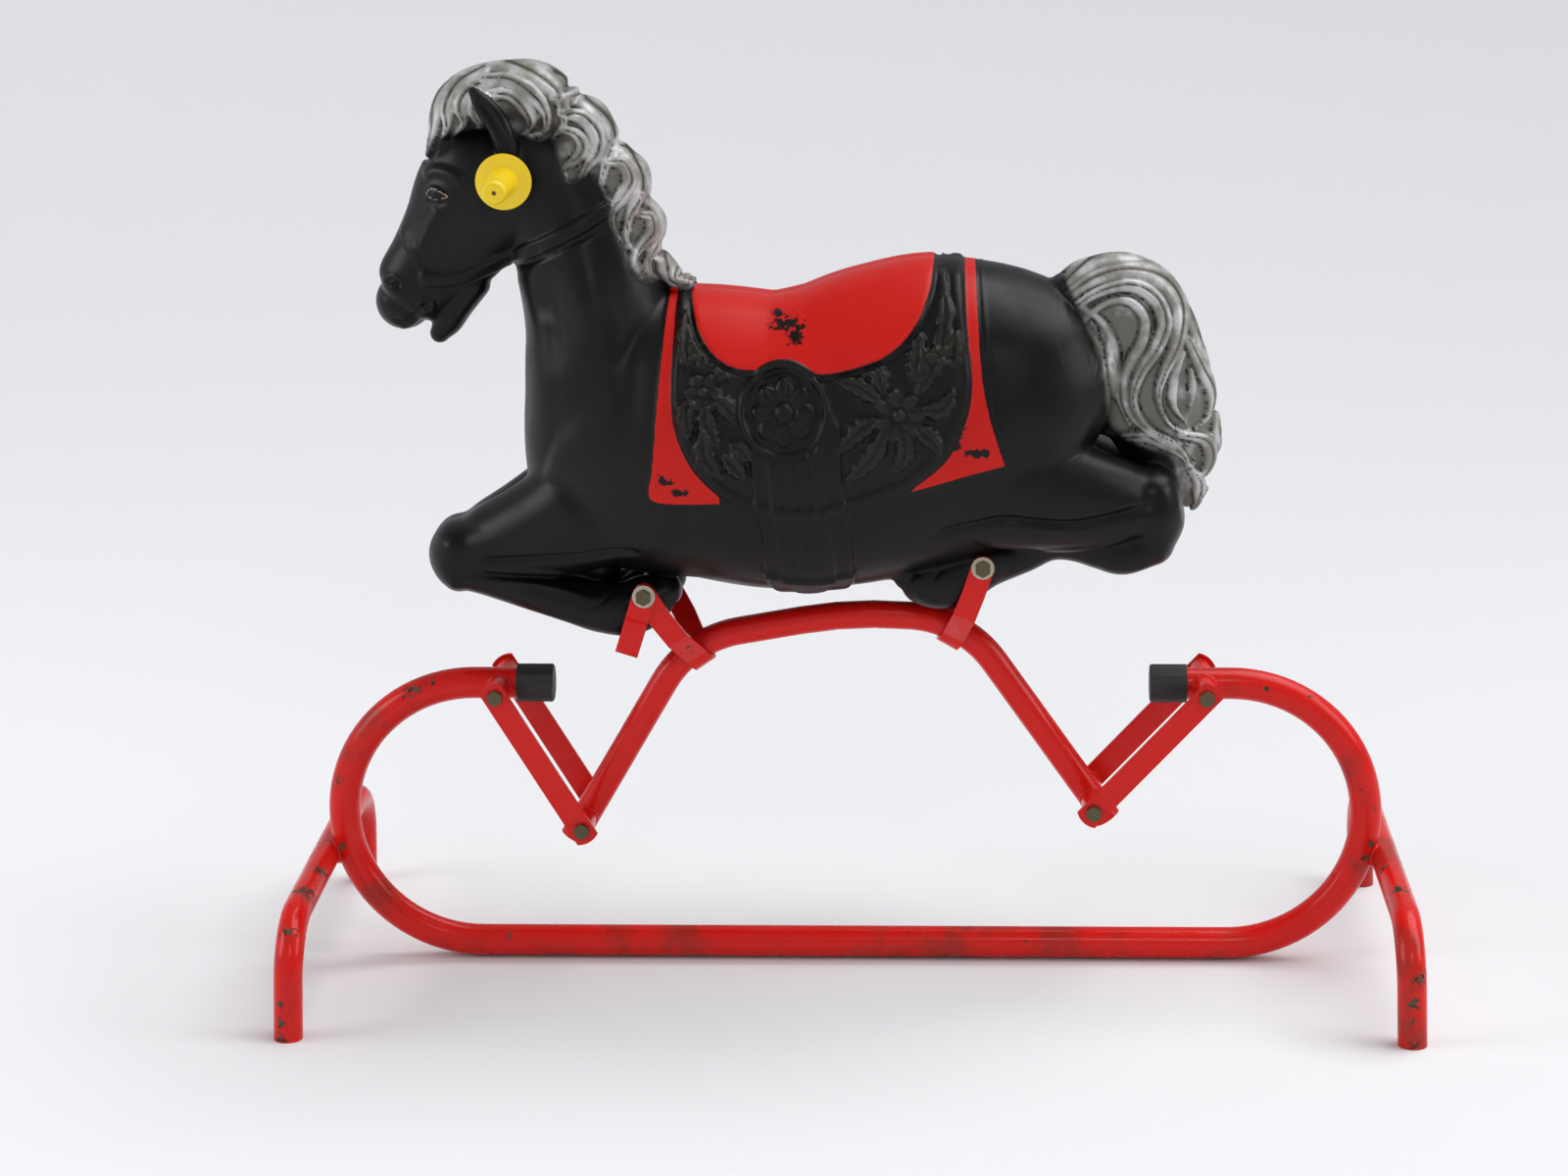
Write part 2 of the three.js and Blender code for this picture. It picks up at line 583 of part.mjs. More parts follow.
// Runs a smooth spine through the ovals and skins it. `inset` shrinks it, for the hollow.
function limb(ovals, outerSides, inset, flank = 0) {
  const placeAt = new THREE.CatmullRomCurve3(ovals.map(([x, z]) => flatPoint([x, z])));
  const sizeAt = new THREE.CatmullRomCurve3(
    ovals.map(([, , depth, width, offset = 0]) => new THREE.Vector3(depth, width, offset)));
  const sides = inset ? HOLLOW_SIDES : outerSides;
  const steps = Math.round((inset ? 1 : 1.25) * (ovals.length - 1));
  const margin = inset ? 0.3 : 0;
  const rings = [];
  for (let s = 0; s <= steps; s++) {
    const t = (s === 0 ? margin : s === steps ? steps - margin : s) / steps;
    const size = sizeAt.getPoint(t);
    const centre = placeAt.getPoint(t);
    centre.y = flank * size.z;
    const along = placeAt.getTangent(t);
    const deep = new THREE.Vector3(-along.z, 0, along.x);
    rings.push(ring(centre, deep, sideways, size.x - inset, size.y - inset, sides));
  }
  return toSolid(skin(rings));
}

function body(inset) {
  const parts = [
    limb(TORSO, TRUNK_SIDES, inset), limb(NECK, LIMB_SIDES, inset), limb(HEAD, LIMB_SIDES, inset),
    limb(MANE, LIMB_SIDES, inset), limb(TAIL, LIMB_SIDES, 2 * inset),
  ];
  for (const flank of [-1, 1]) {
    for (const leg of [FORE_LEG, FORE_FOOT, HIND_LEG, HIND_FOOT]) {
      parts.push(limb(leg, LIMB_SIDES, inset, flank));
    }
  }
  return join(...parts);
}

// Flats on both flanks for the mount straps; the hollow keeps its wall behind them.
function withFlats(solid, inset) {
  const tools = [];
  for (const [mount, radius] of [[FRONT_MOUNT, 30], [REAR_MOUNT, 22]]) {
    tools.push(crossBar(mount, radius + inset, HOOF_HALF_WIDTH - inset, 140));
    tools.push(crossBar(mount, radius + inset, -140, -HOOF_HALF_WIDTH + inset));
  }
  return cut(solid, ...tools);
}

const acrossHorse = (place, radius) => crossBar(place, radius, -90, 90, 12);
const vent = new THREE.CylinderGeometry(VENT_RADIUS, VENT_RADIUS, 60, 10);
vent.rotateX(Math.PI / 2);
vent.translate(-60, 0, 355);
piece("horse_shell", cut(
  withFlats(body(0), 0),
  withFlats(body(SHELL_WALL), SHELL_WALL),
  acrossHorse(HANDLE, HANDLE_ROD_RADIUS + GAP),
  acrossHorse(FRONT_MOUNT, SPACER_RADIUS + GAP),
  acrossHorse(REAR_MOUNT, SPACER_RADIUS + GAP),
  toSolid(vent),
), blackPlastic);

export default horse;
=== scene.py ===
"""Visual model of a child's glider horse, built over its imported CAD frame.

Metres, +Z up, origin on the floor at the centre. The horse faces -X and its left side is -Y.
Shapes are tabled in millimetres and scaled by MM.
"""

import json
import math

import bpy
import numpy as np
from mathutils import Matrix, Vector

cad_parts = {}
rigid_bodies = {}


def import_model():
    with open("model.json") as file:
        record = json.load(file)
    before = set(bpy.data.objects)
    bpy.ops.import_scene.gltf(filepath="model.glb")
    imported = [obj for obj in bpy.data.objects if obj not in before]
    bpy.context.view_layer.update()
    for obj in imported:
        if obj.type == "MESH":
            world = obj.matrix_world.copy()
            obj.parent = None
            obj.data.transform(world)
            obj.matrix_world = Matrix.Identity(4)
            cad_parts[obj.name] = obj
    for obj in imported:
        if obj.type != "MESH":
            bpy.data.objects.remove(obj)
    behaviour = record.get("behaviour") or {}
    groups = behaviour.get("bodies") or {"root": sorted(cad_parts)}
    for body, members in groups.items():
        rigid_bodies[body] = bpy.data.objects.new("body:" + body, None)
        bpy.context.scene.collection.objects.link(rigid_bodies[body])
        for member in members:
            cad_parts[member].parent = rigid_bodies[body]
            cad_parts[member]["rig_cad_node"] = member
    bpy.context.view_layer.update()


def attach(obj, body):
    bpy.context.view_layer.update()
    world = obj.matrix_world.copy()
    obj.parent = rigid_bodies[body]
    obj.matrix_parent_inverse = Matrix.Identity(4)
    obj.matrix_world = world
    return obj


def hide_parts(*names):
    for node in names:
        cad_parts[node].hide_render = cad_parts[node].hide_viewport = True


MM = 0.001

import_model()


# ---- Mesh helpers ----
def mesh_object(name, points, faces, body, material, smooth_angle=None):
    """A mesh piece from points in metres. Without smooth_angle every face is smooth."""
    mesh = bpy.data.meshes.new(name)
    mesh.from_pydata([tuple(p) for p in points], [], [tuple(f) for f in faces])
    mesh.materials.append(material)
    if smooth_angle is None:
        mesh.shade_smooth()
    else:
        mesh.set_sharp_from_angle(angle=math.radians(smooth_angle))
    piece = bpy.data.objects.new(name, mesh)
    bpy.context.collection.objects.link(piece)
    if body:
        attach(piece, body)
    return piece


def catmull_rom(points, step, closed=False):
    """Dense samples of a smooth curve through rows of numbers; the first two columns are x and z."""
    rows = np.array(points, float)
    count = len(rows)
    spans = count if closed else count - 1
    out = []
    for i in range(spans):
        p0, p1, p2, p3 = (
            rows[(i + k) % count if closed else min(max(i + k, 0), count - 1)]
            for k in (-1, 0, 1, 2))
        pieces = max(2, int(np.hypot(*(p2 - p1)[:2]) / step))
        t = np.linspace(0, 1, pieces, endpoint=False)[:, None]
        out.append(
            0.5 * (2 * p1 + (p2 - p0) * t + (2 * p0 - 5 * p1 + 4 * p2 - p3) * t**2
                   + (3 * p1 - p0 - 3 * p2 + p3) * t**3)
        )
    if not closed:
        out.append(rows[-1:])
    return np.vstack(out)


def smoothstep(low, high, value):
    t = np.clip((value - low) / (high - low), 0, 1)
    return t * t * (3 - 2 * t)


# ---- Horse: main forms ----
# Rows of [x, z, half depth, half width, how far out of the middle], in millimetres.
TORSO = [
    [-262, 516, 24, 30, 0], [-252, 512, 80, 62, 0], [-236, 507, 106, 78, 0],
    [-205, 502, 124, 90, 0], [-165, 497, 129, 98, 0], [-120, 494, 130, 103, 0],
    [-65, 487, 132, 106, 0], [-13, 492, 135, 107, 0], [39, 505, 139, 108, 0],
    [91, 516, 138, 108, 0], [140, 524, 125, 104, 0], [180, 527, 105, 94, 0],
    [208, 525, 78, 76, 0], [224, 521, 50, 52, 0], [230, 519, 26, 28, 0],
]
CHEST = [[-248, 452, 38, 48, 0], [-251, 492, 38, 58, 0], [-250, 545, 36, 64, 0], [-248, 600, 34, 58, 0]]
NECK = [
    [-205, 500, 72, 80, 0], [-213, 552, 73, 78, 0], [-219, 600, 67, 70, 0],
    [-231, 650, 62, 58, 0], [-248, 698, 56, 49, 0], [-276, 740, 48, 42, 0], [-292, 758, 20, 30, 0],
]
HEAD = [
    [-282, 754, 26, 34, 0], [-298, 732, 60, 45, 0], [-322, 705, 61, 48, 0],
    [-346, 672, 50, 40, 0], [-367, 646, 42, 33, 0], [-386, 624, 36, 31, 0],
    [-393, 616, 25, 26, 0],
]
FOREHEAD = [[-350, 728, 19, 30, 0], [-349, 752, 19, 30, 0], [-344, 772, 17, 32, 0]]
CHIN = [[-328, 630, 12, 20, 0], [-344, 612, 13, 20, 0], [-355, 597, 13, 17, 0], [-362, 587, 9, 13, 0]]
MANE = [
    [-355, 760, 15, 28, 0], [-336, 787, 25, 38, 0], [-312, 796, 28, 43, 0], [-277, 798, 29, 43, 0],
    [-258, 789, 30, 43, 0], [-247, 779, 22, 41, 0], [-232, 768, 28, 41, 0], [-213, 742, 23, 37, 0],
    [-201, 721, 30, 38, 0], [-189, 697, 22, 34, 0], [-183, 682, 24, 34, 0], [-178, 662, 18, 31, 0],
    [-168, 647, 17, 28, 0], [-154, 635, 11, 22, 0], [-143, 627, 7, 16, 0],
]
TAIL = [
    [186, 602, 28, 32, 0], [212, 614, 36, 38, 0], [240, 610, 46, 40, 0], [254, 588, 50, 40, 0],
    [262, 556, 54, 39, 0], [274, 520, 52, 37, 0], [290, 478, 42, 34, 0], [300, 450, 27, 26, 0],
    [306, 438, 14, 16, 0],
]
FORE_LEG = [
    [-205, 452, 66, 44, 40], [-245, 428, 54, 46, 30], [-287, 409, 43, 43, 20],
    [-325, 393, 37, 40, 10], [-348, 388, 30, 38, 8],
]
KNEE = [[-352, 399, 19, 36, 8], [-354, 379, 19, 36, 8], [-350, 371, 17, 34, 10]]
FORE_WEB = [[-318, 384, 14, 22, 0], [-270, 378, 18, 22, 0], [-225, 376, 20, 22, 0]]
FORE_FOOT = [
    [-350, 373, 16, 32, 12], [-325, 370, 18, 31, 17], [-285, 359, 19, 28, 23],
    [-248, 348, 20, 25, 26], [-222, 341, 22, 26, 26], [-198, 341, 25, 27, 25],
    [-178, 349, 23, 25, 24], [-164, 357, 15, 20, 24],
]
HIND_LEG = [
    [110, 468, 56, 36, 60], [150, 460, 57, 41, 58], [205, 447, 47, 38, 50],
    [240, 440, 39, 35, 42], [262, 436, 32, 32, 36],
]
HOCK = [[268, 449, 24, 32, 34], [273, 426, 24, 31, 34], [268, 405, 20, 28, 34]]
HIND_FOOT = [
    [268, 402, 18, 24, 36], [243, 395, 20, 25, 36], [222, 398, 18, 24, 35], [199, 402, 15, 23, 34],
    [178, 402, 15, 22, 33], [155, 394, 18, 22, 32], [122, 382, 21, 24, 29], [92, 367, 25, 26, 27],
    [66, 366, 22, 22, 26], [52, 371, 13, 15, 26],
]
EAR = [
    [-290, 745, 9, 10, 38], [-293, 762, 11, 11, 42], [-299, 779, 11, 10, 45], [-311, 795, 9, 8, 46],
    [-320, 808, 4, 5, 46],
]
FORMS = [
    # stations, blend (square millimetres) with what is already there
    (TORSO, 0), (CHEST, 200), (NECK, 260), (HEAD, 200), (FOREHEAD, 80), (CHIN, 90), (HIND_LEG, 170),
    (FORE_LEG, 170), (KNEE, 200), (FORE_WEB, 60), (HOCK, 120), (HIND_FOOT, 110), (FORE_FOOT, 90),
    (MANE, 60), (TAIL, 110), (EAR, 30),
]
GRID_LOW = np.array([-432.0, -126.0, 300.0])
GRID_HIGH = np.array([348.0, 126.0, 846.0])
GRID_STEP = 1.8


def nearest_on(line, x, z):
    """Nearest place on a dense line: its fractional number, its row, and the squared distance."""
    best = np.full(x.shape, 1e12)
    nearest = np.zeros(x.shape, int)
    for n, (lx, lz) in enumerate(line[:, :2]):
        distance = (x - lx) ** 2 + (z - lz) ** 2
        closer = distance < best
        best[closer] = distance[closer]
        nearest[closer] = n
    way = np.gradient(line, axis=0)[nearest]
    length = np.maximum(way[..., 0] ** 2 + way[..., 1] ** 2, 1e-9)
    share = ((x - line[nearest, 0]) * way[..., 0] + (z - line[nearest, 1]) * way[..., 1]) / length
    low, high = np.where(nearest == 0, 0, -0.6), np.where(nearest == len(line) - 1, 0, 0.6)
    share = np.clip(share, low, high)
    row = line[nearest] + share[..., None] * way
    return nearest + share, row, (x - row[..., 0]) ** 2 + (z - row[..., 1]) ** 2


def form_maps(stations, xs, zs):
    """Over the x, z grid: the form's squared half width and its offset from the middle."""
    line = catmull_rom(stations, 2.5)
    squared = np.full((len(xs), len(zs)), -1e4, np.float32)
    offset = np.zeros_like(squared)
    reach = line[:, 2].max() + 45
    i0, i1 = np.searchsorted(xs, [line[:, 0].min() - reach, line[:, 0].max() + reach])
    k0, k1 = np.searchsorted(zs, [line[:, 1].min() - reach, line[:, 1].max() + reach])
    _, row, distance = nearest_on(line, *np.meshgrid(xs[i0:i1], zs[k0:k1], indexing="ij"))
    squared[i0:i1, k0:k1] = row[..., 3] ** 2 * (1 - distance / np.maximum(row[..., 2], 1) ** 2)
    offset[i0:i1, k0:k1] = row[..., 4]
    return squared, offset


def horse_field(xs, ys, zs):
    """Positive inside the horse. Forms are joined with a soft maximum."""
    total = None
    for stations, blend in FORMS:
        squared, offset = form_maps(stations, xs, zs)
        value = squared[:, None, :] - (np.abs(ys)[None, :, None] - offset[:, None, :]) ** 2
        value = value.astype(np.float32)
        if total is None:
            total = value
            continue
        difference = np.abs(total - value) / blend
        total = np.maximum(total, value) + blend * np.log1p(np.exp(-np.minimum(difference, 30)))
    return total


def surface_nets(field, low, step):
    """Quads of the surface where the field crosses zero."""
    nx, ny, nz = (n - 1 for n in field.shape)
    inside = field > 0
    corners = [(a, b, c) for a in (0, 1) for b in (0, 1) for c in (0, 1)]
    count = np.zeros((nx, ny, nz), np.int8)
    for a, b, c in corners:
        count += inside[a:a + nx, b:b + ny, c:c + nz]
    cells = np.argwhere((count > 0) & (count < 8))
    values = {
        (a, b, c): field[cells[:, 0] + a, cells[:, 1] + b, cells[:, 2] + c] for a, b, c in corners
    }
    total = np.zeros((len(cells), 3))
    crossings = np.zeros(len(cells))
    for start in corners:
        for axis in range(3):
            if start[axis]:
                continue
            end = tuple(1 if n == axis else s for n, s in enumerate(start))
            v0, v1 = values[start], values[end]
            hit = (v0 > 0) != (v1 > 0)
            share = np.where(hit, v0 / np.where(hit, v0 - v1, 1), 0)
            for n in range(3):
                total[:, n] += np.where(hit, start[n] + (share if n == axis else 0), 0)
            crossings += hit
    points = low + (cells + total / crossings[:, None]) * step
    number = np.full((nx, ny, nz), -1, np.int32)
    number[tuple(cells.T)] = np.arange(len(cells))
    quads = []
    for axis in range(3):
        u, v = (axis + 1) % 3, (axis + 2) % 3
        ahead = tuple(slice(1, None) if n == axis else slice(None) for n in range(3))
        behind = tuple(slice(None, -1) if n == axis else slice(None) for n in range(3))
        edges = np.argwhere(inside[behind] != inside[ahead])
        edges = edges[(edges[:, u] > 0) & (edges[:, v] > 0)]
        ring = []
        for du, dv in ((0, 0), (1, 0), (1, 1), (0, 1)):
            cell = edges.copy()
            cell[:, u] -= du
            cell[:, v] -= dv
            ring.append(number[tuple(cell.T)])
        ring = np.stack(ring, 1)
        outward = inside[tuple(edges.T)]
        ring[~outward] = ring[~outward][:, ::-1]
        quads.append(ring)
    return points, np.vstack(quads)


def vertex_normals(points, quads):
    cross = np.cross(
        points[quads[:, 2]] - points[quads[:, 0]], points[quads[:, 3]] - points[quads[:, 1]])
    normals = np.zeros_like(points)
    for n in range(3):
        for corner in range(4):
            normals[:, n] += np.bincount(quads[:, corner], cross[:, n], len(points))
    return normals / np.maximum(np.linalg.norm(normals, axis=1, keepdims=True), 1e-12)


def relax(points, quads, rounds, amount=0.5):
    edges = np.vstack([quads[:, [n, (n + 1) % 4]] for n in range(4)])
    share = np.bincount(edges.ravel(), minlength=len(points))[:, None]
    for _ in range(rounds):
        total = np.zeros_like(points)
        for n in range(3):
            total[:, n] = np.bincount(edges[:, 0], points[edges[:, 1], n], len(points))
            total[:, n] += np.bincount(edges[:, 1], points[edges[:, 0], n], len(points))
        points = points + amount * (total / share - points)
    return points


xs, ys, zs = (
    np.arange(low, high + GRID_STEP / 2, GRID_STEP) for low, high in zip(GRID_LOW, GRID_HIGH)
)
horse_points, horse_quads = surface_nets(
    horse_field(xs, ys, zs), np.array([xs[0], ys[0], zs[0]]), GRID_STEP)
horse_points = relax(horse_points, horse_quads, 3)


# ---- Horse: relief ----
# Relief is a height in millimetres along the surface normal. It is looked up by x and z, so the
# two flanks are alike.
px, py, pz = horse_points.T
flank = vertex_normals(horse_points, horse_quads)
facing = np.abs(flank[:, 1])


def nearby(line, reach):
    """Numbers of the places in the box round a line."""
    low, high = line.min(0) - reach, line.max(0) + reach
    return np.flatnonzero((px > low[0]) & (px < high[0]) & (pz > low[1]) & (pz < high[1]))


def near_curve(points, reach, closed=False):
    """Places within reach of a curve: their numbers, signed distance from it and share along it."""
    line = catmull_rom(points, 1.5, closed)[:, :2]
    if closed:
        line = np.vstack([line, line[:1]])
    found = nearby(line, reach)
    along, row, distance = nearest_on(line, px[found], pz[found])
    keep = distance < reach**2
    found, along, row, distance = found[keep], along[keep], row[keep], distance[keep]
    way = np.gradient(line, axis=0)[np.round(along).astype(int)]
    side = np.where(way[:, 0] * (pz[found] - row[:, 1]) < way[:, 1] * (px[found] - row[:, 0]), -1, 1)
    return found, side * np.sqrt(distance), np.clip(along / (len(line) - 1), 0, 1)


def inside(sides, reach=14.0):
    """Distance inside a closed outline made of curved sides, in millimetres, negative outside."""
    line = np.vstack([catmull_rom(side, 1.5)[:, :2] for side in sides])
    result = np.full(len(px), -reach)
    found = nearby(line, reach)
    x, z = px[found], pz[found]
    best = np.full(len(found), 1e9)
    within = np.zeros(len(found), bool)
    for (ax, az), (bx, bz) in zip(line, np.roll(line, -1, 0)):
        ux, uz = bx - ax, bz - az
        share = np.clip(((x - ax) * ux + (z - az) * uz) / max(ux * ux + uz * uz, 1e-9), 0, 1)
        best = np.minimum(best, (x - ax - share * ux) ** 2 + (z - az - share * uz) ** 2)
        if az != bz:
            within ^= ((az > z) != (bz > z)) & (x < ax + (z - az) * ux / uz)
    result[found] = np.clip(np.where(within, 1, -1) * np.sqrt(best), -reach, None)
    return result


relief = np.zeros(len(px))


def ridge(points, half_width, height, closed=False, fade=0.15):
    """Raises, or with a negative height cuts, a rounded line. It fades out towards its ends."""
    found, distance, share = near_curve(points, half_width, closed)
    ends = 1 if closed else smoothstep(0, fade, share) * smoothstep(1, 1 - fade, share)
    relief[found] += height * ends * np.cos(distance / half_width * math.pi / 2) ** 2


def strap(points, half_width, height):
    """Raises a flat band with soft edges."""
    found, distance, _ = near_curve(points, half_width + 2)
    relief[found] += height * smoothstep(half_width + 2, half_width - 1, np.abs(distance))


def bulge(x, z, half_x, half_z, height):
    """A smooth round swelling."""
    spot = ((px - x) / half_x) ** 2 + ((pz - z) / half_z) ** 2
    relief[:] += height * np.clip(1 - spot, 0, 1) ** 1.5


# Head
bulge(-298, 700, 40, 42, 3.5)
ridge([[-352, 704], [-364, 684], [-374, 664]], 8, 2)
ridge([[-368, 728], [-362, 734], [-353, 736], [-340, 733], [-330, 726]], 8, 2.6)
ridge([[-364, 711], [-356, 708], [-346, 711]], 4, -1.4)
bulge(-356, 717, 8, 5.5, 2.4)
ridge([[-365, 715], [-358, 721.5], [-352, 720], [-345, 715]], 2.4, 1.8)
ridge([[-365, 715], [-358, 711.5], [-351, 711.5], [-345, 715]], 2.2, 1.3)
bulge(-399, 634, 12, 13, 3)
ridge([[-404, 634], [-400, 638], [-395, 637], [-392, 632]], 4, -4.5)
ridge([[-401, 604], [-393, 600], [-384, 604], [-376, 612], [-368, 617]], 3.4, -3.5)
ridge([[-397, 593], [-388, 596], [-378, 604], [-368, 608]], 4, 1.5)
ridge([[-375, 618], [-370, 623], [-364, 620], [-365, 613], [-371, 612]], 2.6, 2, closed=True)
strap([[-368, 641], [-340, 641], [-302, 655], [-272, 668], [-240, 684], [-206, 702]], 5.5, 3.6)
ridge([[-362, 633], [-338, 633], [-300, 646], [-268, 660], [-234, 676], [-204, 692]], 4, -2.4)
strap([[-306, 704], [-326, 680], [-346, 655], [-366, 628]], 3, 0.6)
strap([[-388, 680], [-377, 660], [-366, 640]], 3.5, 0.8)
ridge([[-303, 626], [-296, 640], [-280, 654], [-262, 672]], 9, -3)

# Neck, shoulder and chest
ridge([[-245, 700], [-228, 650], [-218, 600], [-222, 540]], 28, 4, fade=0.45)
ridge([[-270, 665], [-258, 610], [-254, 550]], 16, -3, fade=0.45)
ridge([[-186, 645], [-184, 590], [-188, 530], [-200, 480]], 18, -2.5, fade=0.45)
ridge([[-268, 470], [-246, 460], [-222, 440], [-196, 410]], 18, -3.5, fade=0.4)

# Fore legs
ridge([[-330, 390], [-300, 392], [-269, 395], [-235, 398], [-205, 402], [-180, 400]], 6, -5)
ridge([[-322, 382], [-290, 381], [-258, 378], [-236, 374]], 4.5, 2)
ridge([[-318, 371], [-290, 369], [-262, 364], [-234, 356]], 4.5, 1.8)
ridge([[-330, 377], [-295, 375], [-262, 371], [-240, 365]], 3.5, -2)
ridge([[-228, 345], [-220, 352], [-208, 361], [-196, 368]], 3, -2.2)
ridge([[-214, 336], [-206, 345], [-196, 353], [-186, 360]], 5, 1.6)
bulge(-335, 404, 34, 16, 2)

# Hind legs
ridge([[66, 420], [82, 423], [110, 431], [137, 438], [170, 434], [200, 432], [247, 440],
       [268, 449]], 7, -5.5)
ridge([[98, 460], [106, 510], [122, 550], [150, 590]], 30, -3, fade=0.45)
ridge([[250, 420], [225, 408], [195, 404], [165, 402]], 4.5, 1.8)
bulge(126, 392, 23, 21, 4)
ridge([[80, 352], [74, 362], [76, 374], [84, 384]], 3, -2.2)
ridge([[66, 352], [60, 364], [62, 376]], 5, 1.4)
bulge(262, 428, 26, 18, 2.5)

# Saddle cloth, skirt and seat
SKIRT_FRONT = [[-146, 650], [-147, 610], [-149, 546], [-144, 513], [-130, 484], [-108, 461]]
SKIRT_BOTTOM = [[-108, 461], [-80, 449], [-34, 444], [8, 452], [58, 470]]
SKIRT_REAR = [[58, 470], [86, 494], [101, 523], [108, 558], [103, 615], [100, 700]]
SEAT_EDGE = [
    [79, 700], [77, 648], [71, 622], [59, 600], [40, 582], [14, 571], [-20, 564], [-48, 572],
    [-72, 566], [-96, 568], [-114, 578], [-128, 596], [-136, 620], [-139, 640], [-139, 700],
]
skirt = inside([SKIRT_FRONT, SKIRT_BOTTOM, SKIRT_REAR, [[100, 700], [-146, 700]]])
front_cloth = inside([
    [[-156, 632], [-161, 570], [-169, 482]], [[-169, 482], [-168, 454], [-108, 453]],
    [[-108, 453], [-108, 461]], SKIRT_FRONT[::-1][:-1], [[-147, 632], [-156, 632]]])
rear_cloth = inside([
    SKIRT_REAR, [[100, 700], [112, 700]], [[112, 700], [113, 660], [118, 575], [126, 530], [139, 487]],
    [[139, 487], [105, 478], [52, 463]], [[52, 463], [58, 470]]])
seat = inside([SEAT_EDGE])
cloth = np.maximum(skirt, np.maximum(front_cloth, rear_cloth))
relief += 1.2 * smoothstep(-1.5, 1.5, cloth)
relief += 3.0 * smoothstep(-1.6, 1.6, skirt)
relief += 2.4 * smoothstep(1, 3, skirt) * smoothstep(11.5, 9, skirt) * (seat < 0)
relief += 3 * smoothstep(-2, 3, seat)
relief -= 1.6 * smoothstep(-6, -3, seat) * smoothstep(0, -3, seat)
ridge([[116, 668], [121, 600], [129, 535], [143, 486]], 2.5, 1.4)

# Girth strap and its panels below the roundel, with a ledge under the belly
ROUNDEL = (-52, 534)
ROUNDEL_RADIUS = 41
roundel_reach = np.hypot(px - ROUNDEL[0], pz - ROUNDEL[1])
skirt_relief = relief.copy()
strap([[-42, 512], [-41, 470], [-35, 430], [-33, 384]], 38, 4.4)
strap([[-42, 500], [-41, 470], [-37, 430], [-34, 386]], 23, 3)
for shift in (-12, 0, 12):
    ridge([[-42 + shift, 500], [-40 + shift, 460], [-36 + shift, 420], [-34 + shift, 392]], 3, -2)
ridge([[-80, 386], [-33, 380], [12, 385]], 7, 3)
relief[:] = np.where(roundel_reach < ROUNDEL_RADIUS - 1, skirt_relief, relief)


def flower(x, z, radius, petals, height):
    """A tooled flower: notched petals round a domed button."""
    reach = np.hypot(px - x, pz - z)
    found = np.flatnonzero(reach < 1.2 * radius)
    r, turn = reach[found], np.arctan2(pz[found] - z, px[found] - x)
    lobes = np.abs(np.cos(petals * turn / 2))
    edge = radius * (0.72 + 0.28 * lobes)
    shape = smoothstep(edge + 0.8, edge - 1.6, r) * (0.45 + 0.55 * lobes)
    shape *= 0.7 + 0.3 * np.clip(r / radius, 0, 1)
    button = np.sqrt(np.clip(1 - (r / (0.3 * radius)) ** 2, 0, 1))
    relief[found] += height * np.where(r < 0.36 * radius, 1.15 * button, shape)


def leaf(points, half_width, height, lobes=5):
    """A tooled leaf along a curve, with a lobed edge and a sunken midrib."""
    found, distance, share = near_curve(points, 1.3 * half_width)
    scallop = 0.62 + 0.38 * np.abs(np.sin(math.pi * lobes * share)) ** 0.8
    width = half_width * np.sin(math.pi * np.clip(share, 0, 1) ** 0.8) * scallop + 0.3
    u = np.clip(np.abs(distance) / width, 0, 1)
    shape = smoothstep(1, 0.6, u) * (1 - 0.6 * smoothstep(0.22, 0, u))
    relief[found] += height * shape


plain_relief = relief.copy()
flower(47, 533, 22, 7, 5)
flower(-122, 550, 16, 6, 4.4)
for vine in [
    [[62, 550], [78, 575], [86, 605], [84, 645]], [[60, 560], [64, 585], [60, 606]],
    [[30, 545], [12, 556], [-8, 560]], [[34, 552], [28, 568], [10, 572]],
    [[30, 530], [12, 520], [-6, 500]], [[36, 522], [26, 502], [8, 482], [-2, 474]],
    [[50, 520], [52, 502], [42, 484]], [[60, 524], [76, 512], [80, 500]],
    [[66, 538], [84, 540], [94, 556]], [[72, 585], [92, 580], [96, 600]],
    [[-122, 568], [-124, 586], [-118, 600]], [[-110, 560], [-100, 572], [-92, 574]],
    [[-132, 545], [-137, 530], [-132, 512]], [[-120, 540], [-118, 522], [-108, 506]],
    [[-112, 545], [-100, 536], [-93, 524]], [[-122, 520], [-120, 498], [-104, 478]],
    [[-104, 500], [-94, 488], [-84, 478]], [[-98, 508], [-88, 502], [-80, 494]],
    [[-134, 570], [-138, 590], [-134, 615]],
]:
    leaf(vine, 10.5, 5)
relief[:] = np.where((seat > -4) | (roundel_reach < ROUNDEL_RADIUS + 1), plain_relief, relief)
tooled_relief = relief - plain_relief
rim = ROUNDEL_RADIUS - roundel_reach
relief += 4.4 * smoothstep(0, 2.5, rim) * smoothstep(8, 5.5, rim)
flower(*ROUNDEL, 28, 8, 4.6)


# Mane and tail: locks of hair, each a tapering domed band with strands along it
hair_relief = np.zeros(len(px))
strand = np.full(len(px), 0.55)


